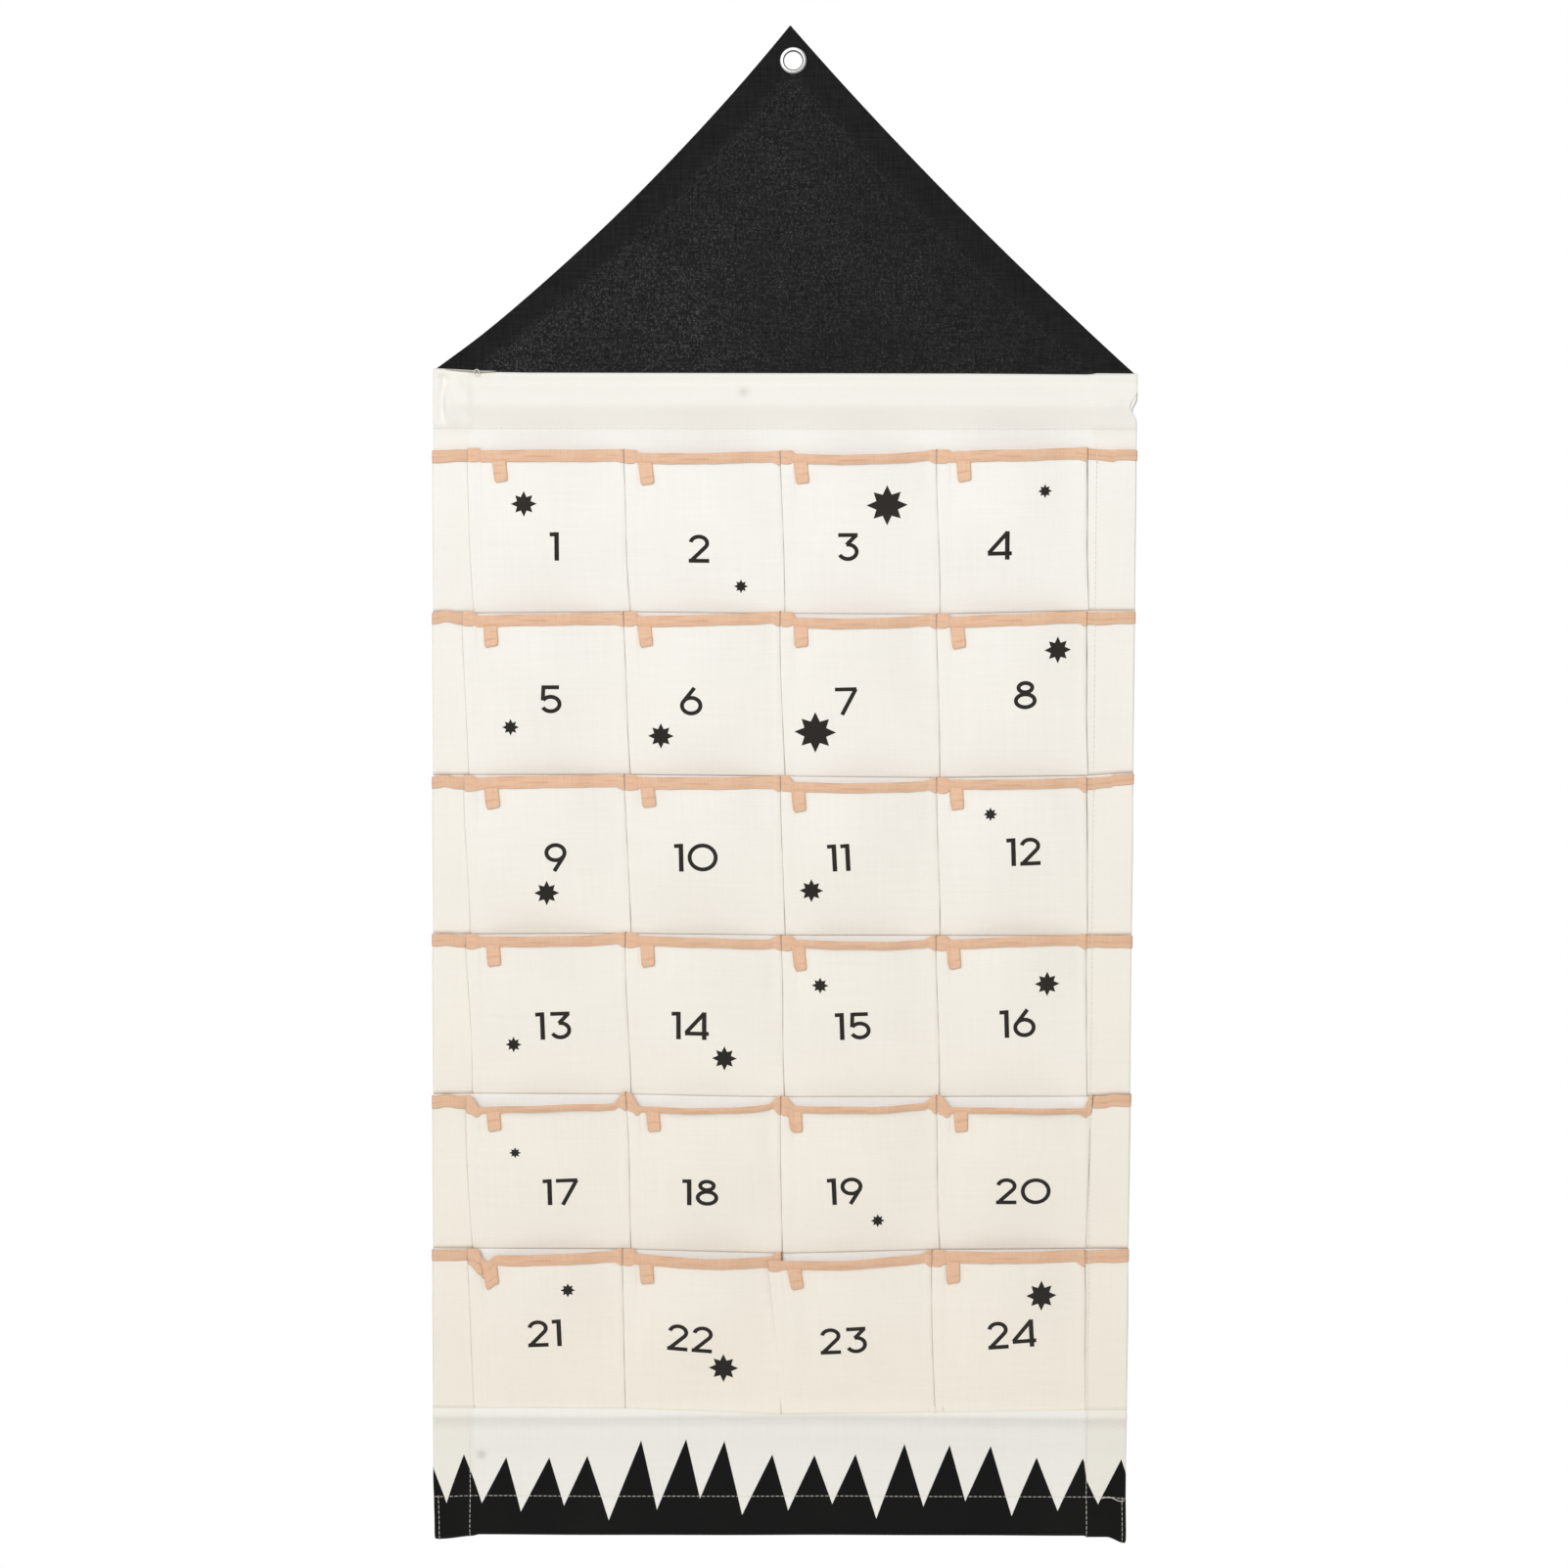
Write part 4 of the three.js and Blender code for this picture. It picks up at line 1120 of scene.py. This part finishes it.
# How high each tape looks from the front: where it rolls outwards, it looks lower.
tape_heights = [
    [7.0, 6.3, 5.6, 6.5], [7.0, 6.7, 6.3, 6.9], [7.3, 7.2, 5.9, 5.5],
    [6.1, 5.7, 4.7, 5.8], [3.9, 3.5, 4.0, 3.5], [6.8, 6.6, 5.6, 6.9]]
crease_random = np.random.default_rng(24)
pockets = []
for row in range(row_count):
    for column in range(column_count):
        middle = (dividers[column] + dividers[column + 1]) / 2
        tape_seen = tape_heights[row][column]
        pockets.append({
            "name": f"{row * column_count + column + 1:02d}", "row": row, "column": column,
            "foot": seam_height(row, middle),
            "height": mouth_height(row, middle) + mouth_stands - seam_height(row, middle),
            "sag": sags[row][column], "step": sag_steps[row], "tape": tape_seen,
            "roll": 0.45 * math.sqrt(full_tape ** 2 - tape_seen ** 2), "crumpled": row == 5 and column == 0,
            "laps": 9.0 if row == 5 and column == 2 else 0.0,    # over the pocket to its left, at the mouth
            "bunched": 13.0 if row == 4 and column == 3 else 7.0,    # of its tape, from its right end
            "waves": crease_random.uniform(0, 6.28, 6), "force": crease_random.uniform(0.6, 1.2, 3)})


def pocket_width(pocket, rise):
    left = divider_x(pocket["row"], pocket["column"], rise) - pleat_overlap - pocket["laps"] * rise
    return left, divider_x(pocket["row"], pocket["column"] + 1, rise) + 0.25 - left


for pocket in pockets:
    pocket["width"] = pocket_width(pocket, 1.0)[1]


def front_form(pocket, across, rise):
    """The outside of the front in mm; across runs from the left fold to the right one in mm."""
    left, width = pocket_width(pocket, rise)
    full_width = pocket["width"]
    share = across / full_width
    x = left + share * width
    seam, top = seam_height(pocket["row"], x), mouth_height(pocket["row"], x) + mouth_stands
    free = np.clip((across - pleat_left) / (full_width - pleat_left - pleat_right), 0, 1)
    arch = np.sin(math.pi * free) ** 1.2
    above = np.clip(rise - 0.03, 0, 1) / 0.97
    bulge = mouth_depth * (0.5 * above ** 1.25 + 0.5 * np.sin(above ** 1.25 * math.pi / 2)) * arch
    phase, force = pocket["waves"], pocket["force"]
    creases = 0.4 * force[0] * np.sin(across / 8.5 + 1.2 * rise + phase[0]) * above
    creases = creases + 0.6 * force[1] * np.sin(across / 21 - 2.4 * rise + phase[1]) * above
    level = 0.4 * force[2] * np.sin(rise * 9 + across / 47 + phase[2])
    creases += level * np.sin(math.pi * np.clip(share, 0, 1)) * smooth_step(rise, 0, 0.3)
    bulge = bulge + creases * smooth_step(free, 0, 0.12) * smooth_step(1 - free, 0, 0.12)
    bulge = bulge + pocket["roll"] * smooth_step((rise - 1) * pocket["height"], -8.5, 0) * np.sqrt(arch)
    past_pleat = smooth_step(across, pleat_left - 0.3, pleat_left + 0.9)
    pleat = pleat_fold * smooth_step(rise, 0.55, 0.95) * (1 - past_pleat)
    tucked = pleat_tuck * smooth_step(across, full_width - 3.2, full_width - 0.9)
    sewn = 1.2 * np.clip(1 - rise / 0.6, 0, 1) + tucked * smooth_step(rise, 0.05, 0.4)
    y = pocket_front_y + sewn - strip_lift(rise) - bulge - pleat
    y = y - 0.28 * pocket["laps"] * smooth_step(rise, 0.05, 0.9) * (1 - smooth_step(across, 11, 24))
    first, middle, last = pocket["sag"]
    sag = first + (4 * middle - 3 * first - last) * free + 2 * (first + last - 2 * middle) * free ** 2
    sag = sag * np.maximum(smooth_step(across, pocket["step"], pleat_left + 1.2), pocket["laps"] > 0)
    sag = sag * (1 - smooth_step(across, full_width - pleat_right - 3, full_width - 1.5))
    sag = sag + 0.12 * np.sin(across / 6.5 + phase[3]) + 0.2 * np.sin(across / 15 + phase[4])
    if pocket["crumpled"]:
        sag = sag + 4.0 * bump(across, 12.7, 3.2)
    z = seam + rise * (top - seam) - sag * np.clip(rise, 0, 1.2) ** 2
    y = y - front_ripple(x, z) * (1 - smooth_step(rise, 0.35, 0.85))
    return np.stack([x + settle(x, z), y, z], -1)


def on_front(pocket, across, rise, raised=0.0):
    """Points so far off the outside of a front, in mm."""
    across, rise = np.broadcast_arrays(np.asarray(across, float), np.asarray(rise, float))
    place = front_form(pocket, across, rise)
    along_x = front_form(pocket, across + 0.5, rise) - front_form(pocket, across - 0.5, rise)
    along_z = front_form(pocket, across, rise + 0.004) - front_form(pocket, across, rise - 0.004)
    facing = np.cross(along_x, along_z)
    facing /= np.linalg.norm(facing, axis=-1, keepdims=True)
    return place + facing * np.asarray(raised)[..., None]


def bend_with_pocket(piece):
    """Bakes the piece's placing into its mesh."""
    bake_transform(piece)


front_rises = np.concatenate([[0, 0.012, 0.03], np.linspace(0.05, 0.88, 34), np.linspace(0.9, 1, 9)])
at_pleat = pleat_left + np.array([-0.6, 0, 0.5, 1.2])
at_tuck = np.array([3.2, 2.6, 2.0, 1.4, 0.9])
returned = np.linspace(0, return_width, 4)[1:]
side_a = np.concatenate([pleat_fold - pleat_fold * np.sin(turn_angles), pleat_fold + returned])
turn_depth = pleat_fold * (1 - np.cos(turn_angles))
side_depth = np.concatenate([turn_depth, np.full(len(returned), 2 * pleat_fold)])
for pocket in pockets:
    width = pocket["width"]
    flat_across = np.unique(np.concatenate([
        np.linspace(pleat_fold, width - pleat_fold, 47), at_pleat, width - at_tuck]))
    a = np.concatenate([side_a[::-1], flat_across, width - side_a])
    depth = np.concatenate([side_depth[::-1], np.zeros(len(flat_across)), side_depth])
    cut = np.concatenate([[0], np.cumsum(np.hypot(np.diff(a), np.diff(depth)))])
    points = on_front(pocket, a[None], front_rises[:, None])
    points[..., 1] += depth * (0.55 + 0.45 * smooth_step(front_rises[:, None], 0, 0.25))
    cut_up = pocket["foot"] + (front_rises * pocket["height"])[:, None]
    points, faces, flat = grid(points, cut[None], cut_up)
    # Painted shade in the crevice beside the pleat's fold at the right of each front.
    to_fold = np.where(depth > 0.9 * pleat_fold, 5, width - pleat_fold - a) * np.ones((len(front_rises), 1))
    shadow = pleat_shadow(np.clip(to_fold, 0, None).ravel(), flat[:, 1])
    flat = flat + np.array([pocket["column"] * cut_pitch, 0])
    front = make_piece("front_" + pocket["name"], points, faces, pocket_canvas, flat)
    point_values(front, "from_hem", np.full(len(points), 0.1))
    point_values(front, "smudges_and_painted_shade", shadow)
    give_thickness(front, pocket_cloth)
    bend_with_pocket(front)
    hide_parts("pocket_front_" + pocket["name"])

# Bindings and tabs
# Cotton tape folded over each mouth and stitched through near its lower edge. A short folded loop of the
# same tape is caught under it at the left of each pocket.

tape_seam_share = 0.82                       # of the tape's height, from the mouth down to its stitches
tab_width = 8.8
tab_drop = 12.2
tab_shortened = [0, 0, 0, 0, 1.5, 0]         # in each row
tab_middles = [
    [20.6, 13.6, 12.8, 17.0], [18.0, 13.1, 13.0, 13.1], [17.8, 14.8, 11.3, 12.2],
    [17.6, 14.1, 10.8, 10.7], [17.6, 17.2, 9.1, 15.5], [14.6, 15.3, 16.8, 13.3]]
pleat_lumps = [1.0, 1.6, 2.2, 1.9, 4.4, 3.0]     # how much higher each row's tape is at the pleats
# How far down the edge of the crumpled tape lies, at its left end.
crumple_end = 26
crumple_across = [0, 2.5, 4.5, 6.6, 10.5, 13.1, 16.5, crumple_end]
crumple_down = [9, 10.5, 13, 16.3, 13, 9.0, 5.6, 6.8]
tab_random = np.random.default_rng(9)
tape_thread = thread_finish("tape_thread", paint(240, 200, 168), paint(214, 166, 132))


def tape_height(pocket, across):
    """From the mouth down to the tape's edge: bunched at both pleats, and lower where it rolls outwards."""
    width = pocket["width"]
    at_right = 1 - smooth_step(width - across, 1.5, pocket["bunched"])
    in_pleat = np.maximum(1 - smooth_step(across, 5, 10), at_right)
    lump = pleat_lumps[pocket["row"]] * np.where(across < width / 2, pocket["laps"] == 0, 1)
    bunched = full_tape + lump * (1 - bump(np.minimum(across, width - across), 0, 0.8) * 0.3)
    height = pocket["tape"] + (bunched - pocket["tape"]) * in_pleat
    if pocket["crumpled"]:
        crumpled = np.interp(across, crumple_across, crumple_down)
        height = np.where(across < crumple_end, crumpled, height)
    return height


at_end = np.array([0.25, 0.4, 0.7])
across_tab = np.linspace(-1, 1, 9)[None]
foot_turn = np.linspace(0.3, math.pi - 0.3, 6)
loop_out = np.concatenate([
    np.full(6, 0.05), 0.85 - 0.8 * np.cos(foot_turn), np.linspace(1.65, 1.6, 5), [1.3, 0.75]])
for pocket in pockets:
    width, height = pocket["width"], pocket["height"]
    a = np.unique(np.concatenate([
        np.linspace(1.2, width - 1.2, 64), at_end, width - at_end, at_pleat]))[None]
    up = section_share * tape_height(pocket, a) + section_over
    from_end = np.minimum(a, width - a)
    pinch = 0.8 * (1 - np.sqrt(np.clip(1 - (1 - np.clip(from_end / 1.2, 0, 1)) ** 2, 0, 1)))
    out = section_out - pinch
    # How fast the painted crevice shade fades from the tape's right end.
    crevice_shade = 0.55 if pocket["column"] < column_count - 1 else 1.2
    from_pleat = np.broadcast_to(np.minimum(1.5 * a, crevice_shade * (width - a)), up.shape)
    if pocket["crumpled"]:
        valley = up + 8.2 + 0.3 * (a - 6.5)
        lump = bump(a, 7.5, 5) * bump(up, -12, 4.5)
        out = out + (1.5 * lump - 0.6 * bump(valley, 0, 0.9) * bump(a, 7.5, 5)) * (section_out > 0)
        # Painted crevice shade along the crumple's valley.
        from_pleat = np.minimum(from_pleat, 0.35 + 0.6 * np.abs(valley) + 0.3 * np.clip(a - 10, 0, None))
    ragged = 0.1 * np.sin(a / 5.3 + pocket["waves"][0]) + 0.08 * np.sin(a / 2.3 + pocket["waves"][1])
    points = on_front(pocket, a, 1 + (np.minimum(up, 0) + ragged * (section_share < -0.5)) / height, out)
    points[..., 2] += np.maximum(up, 0)
    tape_points, tape_faces, tape_flat = grid(points, a, section_flat)

    lean, narrowing = tab_random.uniform(0.03, 0.1), tab_random.uniform(0.93, 1.0)
    drop = tab_drop + tab_random.uniform(-0.6, 0.8) - tab_shortened[pocket["row"]]
    loop_up = np.concatenate([
        np.linspace(1.5, 0.8 - drop, 6), 0.8 - drop - 0.8 * np.sin(foot_turn),
        np.linspace(1.2 - drop, -1.2, 5), [-0.2, 1.4]])
    fall = np.clip(-loop_up, 0, None)[:, None]
    half_tab = tab_width / 2 * (1 - (1 - narrowing) * fall / drop)
    corner = smooth_step(fall, drop - 1.6, drop) * 0.9
    tab_middle = tab_middles[pocket["row"]][pocket["column"]]
    tab_a = tab_middle + across_tab * (half_tab - corner) + lean * fall
    hidden = (full_tape - pocket["tape"]) * (1 - smooth_step(fall, 0, 4))
    tab_rise = 1 + (loop_up[:, None] - full_tape + hidden + 0.05 * across_tab * fall) / height
    tab_out = loop_out[:, None] + 0.02 * fall * smooth_step(fall, 2, 8)
    loop_step = np.hypot(np.diff(loop_out, prepend=loop_out[0]), np.diff(loop_up, prepend=loop_up[0]))
    tab_points, tab_faces, tab_flat = grid(
        on_front(pocket, tab_a, tab_rise, tab_out), tab_a, np.cumsum(loop_step)[:, None],
        first=len(tape_points))
    binding = make_piece(
        "binding_" + pocket["name"], np.concatenate([tape_points, tab_points]),
        np.concatenate([tape_faces, tab_faces]), tape_cloth,
        np.concatenate([tape_flat, tab_flat + [0, 40]]))
    from_pleat = np.concatenate([from_pleat.ravel(), np.full(len(tab_points), 9)])
    point_values(binding, "from_pleat", from_pleat * mm)
    # Browner row by row down the hanging.
    point_values(binding, "browner_tape", np.full(len(binding.data.vertices), 0.06 * pocket["row"]))
    give_thickness(binding, tape_thickness)
    bend_with_pocket(binding)
    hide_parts("binding_tape_" + pocket["name"])

    seam_a = np.arange(crumple_end if pocket["crumpled"] else 1.6, width - 1.5, 1.5)
    seam_rise = 1 - tape_seam_share * tape_height(pocket, seam_a) / height
    seam_line = on_front(pocket, seam_a, seam_rise, tape_out + 0.05)
    stitches = sew(
        "tape_stitches_" + pocket["name"], [seam_line], tape_thread, 0.36, pitch=2.6, length=2.2)
    bend_with_pocket(stitches)

# Printed numbers and stars
# Plain numbers from 1 to 24 and small eight-pointed stars, screen-printed on the fronts in dark fabric ink
# before the strips were pleated. Each print lies on its own pocket.

digit_height = 18.2
digit_stroke = 2.55
stem_stroke = 2.9                            # of the upright strokes
digit_gap = 0.15                             # between two digits, in digit heights
print_lift = 0.1
low = digit_stroke / digit_height / 2        # the middle of a stroke along the foot of a digit
high = 1 - low


def arc(x, z, across, up, start, end):
    """The middle of a curved stroke whose outside reaches so far across and up; angles in degrees."""
    angles = np.radians(np.linspace(start, end, max(6, int(abs(end - start) / 9))))
    return [(x + (across - low) * math.cos(t), z + (up - low) * math.sin(t)) for t in angles]


# Each digit: its width, and the middle lines of its strokes, all in digit heights.
digit_shapes = {
    "0": (1.06, [arc(0.53, 0.5, 0.53, 0.5, 90, 450)]),
    "1": (0.32, [[(0.24, 0), (0.24, 1)], [(0.0, high - 0.01), (0.24, high)]]),
    "2": (0.72, [arc(0.36, 0.7, 0.36, 0.3, 172, -36) + [(0.06, 0.05)], [(0.0, low), (0.72, low)]]),
    "3": (0.78, [[(0.06, high), (0.74, high)], [(0.7, high), (0.35, 0.58)],
                 arc(0.4, 0.33, 0.38, 0.33, 100, -155)]),
    "4": (0.84, [[(0.69, 0.97), (0.03, 0.24)], [(0.0, 0.22), (0.84, 0.22)], [(0.68, 1.0), (0.68, 0.0)]]),
    "5": (0.78, [[(0.09, high), (0.7, high)], [(0.155, 0.97), (0.125, 0.46)],
                 arc(0.4, 0.33, 0.38, 0.33, 148, -152)]),
    "6": (0.79, [arc(0.395, 0.35, 0.395, 0.35, 90, 450), [(0.51, 0.99), (0.11, 0.48)]]),
    "7": (0.78, [[(0.0, high), (0.76, high)], [(0.73, high), (0.22, 0)]]),
    "8": (0.8, [arc(0.4, 0.765, 0.31, 0.235, 90, 450), arc(0.4, 0.3, 0.4, 0.3, 90, 450)]),
    "9": (0.78, [arc(0.39, 0.66, 0.39, 0.34, 90, 450), [(0.69, 0.55), (0.33, 0.0)]]),
}
number_places = [                            # the middle of each number, across and up
    (-147.5, -111.2), (-55.1, -112.3), (39.9, -110.9), (137.3, -110.2),
    (-150.2, -208.7), (-60.0, -209.8), (39.4, -209.0), (153.9, -205.7),
    (-147.0, -310.3), (-56.9, -310.2), (34.7, -309.4), (153.2, -306.1),
    (-148.6, -418.7), (-60.6, -418.6), (44.0, -418.4), (150.0, -417.0),
    (-144.1, -525.6), (-54.0, -525.5), (39.2, -524.7), (154.2, -524.5),
    (-154.6, -617.8), (-60.6, -620.8), (38.5, -621.9), (147.1, -618.6)]
number_tilts = {                             # in degrees
    7: 2, 9: 1, 10: 1, 11: 3, 12: 2, 13: 1.5, 15: 2, 16: 2, 17: 1, 19: 2.5, 21: 2, 22: -3, 23: 2, 24: 3.5}
star_places = {                              # across, up and width, by pocket
    1: (-166.9, -83.8, 15.8), 2: (-28.2, -136.6, 8.2), 3: (65.1, -83.6, 25.6), 4: (165.9, -75.2, 8.2),
    5: (-175.9, -226.9, 10.1), 6: (-79.5, -232.4, 15.8), 7: (19.5, -229.7, 25.9), 8: (174.5, -176.9, 16.4),
    9: (-152.9, -333.6, 15.2), 11: (17.2, -331.5, 14.5), 12: (131.8, -281.6, 8.2),
    13: (-174.4, -431.4, 9.5), 14: (-38.6, -440.0, 15.2), 15: (22.9, -391.3, 10.1),
    16: (168.7, -391.1, 15.2), 17: (-173.3, -498.0, 7.0), 19: (60.4, -545.0, 8.2),
    21: (-139.4, -588.5, 8.8), 22: (-39.1, -641.1, 18.3), 24: (165.9, -593.1, 19.0)}
number_ink = ink_finish("number_ink", paint(44, 41, 38), paint(64, 60, 56))
# A star's corners: four long points, four a little shorter, and the notches between them.
corner = np.arange(17)
star_reach = np.where(corner % 4 == 0, 1, np.where(corner % 2 == 0, 0.93, 0.57))
star_turn = corner * math.pi / 8
star_shape = np.stack([np.sin(star_turn), np.cos(star_turn)], -1)


def ribbon(line, width):
    """A flat stroke: points on its right side, its middle line and its left side, 1.5 mm apart or less."""
    line = np.array(line, float)
    length = np.concatenate([[0], np.cumsum(np.hypot(*np.diff(line, axis=0).T))])
    steps = np.unique(np.concatenate([length, np.linspace(0, length[-1], max(2, int(length[-1] / 1.5)))]))
    line = np.stack([np.interp(steps, length, line[:, i]) for i in (0, 1)], -1)
    heading = np.gradient(line, axis=0)
    if np.allclose(line[0], line[-1]):
        heading[0] = heading[-1] = line[1] - line[-2]
    heading /= np.hypot(*heading.T)[:, None]
    aside = np.stack([-heading[:, 1], heading[:, 0]], -1) * width / 2
    return np.stack([line - aside, line, line + aside])


for number, pocket in enumerate(pockets, 1):
    shapes = []
    digits = [digit_shapes[digit] for digit in str(number)]
    reach = -(sum(wide for wide, strokes in digits) + digit_gap * (len(digits) - 1)) / 2
    tilt = math.radians(number_tilts.get(number, 0))
    turned = np.array([[math.cos(tilt), math.sin(tilt)], [-math.sin(tilt), math.cos(tilt)]])
    for wide, strokes in digits:
        for layer, stroke in enumerate(strokes):
            upright = len(stroke) == 2 and stroke[0][0] == stroke[1][0]
            placed = (np.array(stroke) + [reach, -0.5]) * digit_height @ turned
            line = ribbon(placed, stem_stroke if upright else digit_stroke)
            shapes.append((line, number_places[number - 1], 0.012 * layer))
        reach += wide + digit_gap
    if number in star_places:
        across_star, up_star, star_width = star_places[number]
        outline = star_shape * (star_reach * (star_width / 2 + 0.4))[:, None]
        steps = np.linspace(0.001, 1, max(3, int(star_width / 3)))
        shapes.append((outline[None] * steps[::-1, None, None], (across_star, up_star), 0.0))
    points, faces, flat = [], [], []
    for shape, (middle_x, middle_z), lift in shapes:
        seam = seam_height(pocket["row"], middle_x)
        top = mouth_height(pocket["row"], middle_x) + mouth_stands
        rise = (middle_z + shape[..., 1] - seam) / (top - seam)
        left, there = pocket_width(pocket, rise)
        a = (middle_x + shape[..., 0] - settle(middle_x, middle_z) - left) / there * pocket["width"]
        placed = on_front(pocket, a, rise, print_lift + lift)
        placed, ring, cut = grid(placed, a, rise * 100, first=sum(map(len, points)))
        points.append(placed)
        faces.extend(ring[:, ::-1].tolist() if shape.shape[0] == 3 else ring.tolist())
        flat.append(cut)
    printed = make_piece(
        "print_" + pocket["name"], np.concatenate(points), faces, number_ink, np.concatenate(flat))
    with reworked(printed) as work:
        weld(work)
    bend_with_pocket(printed)
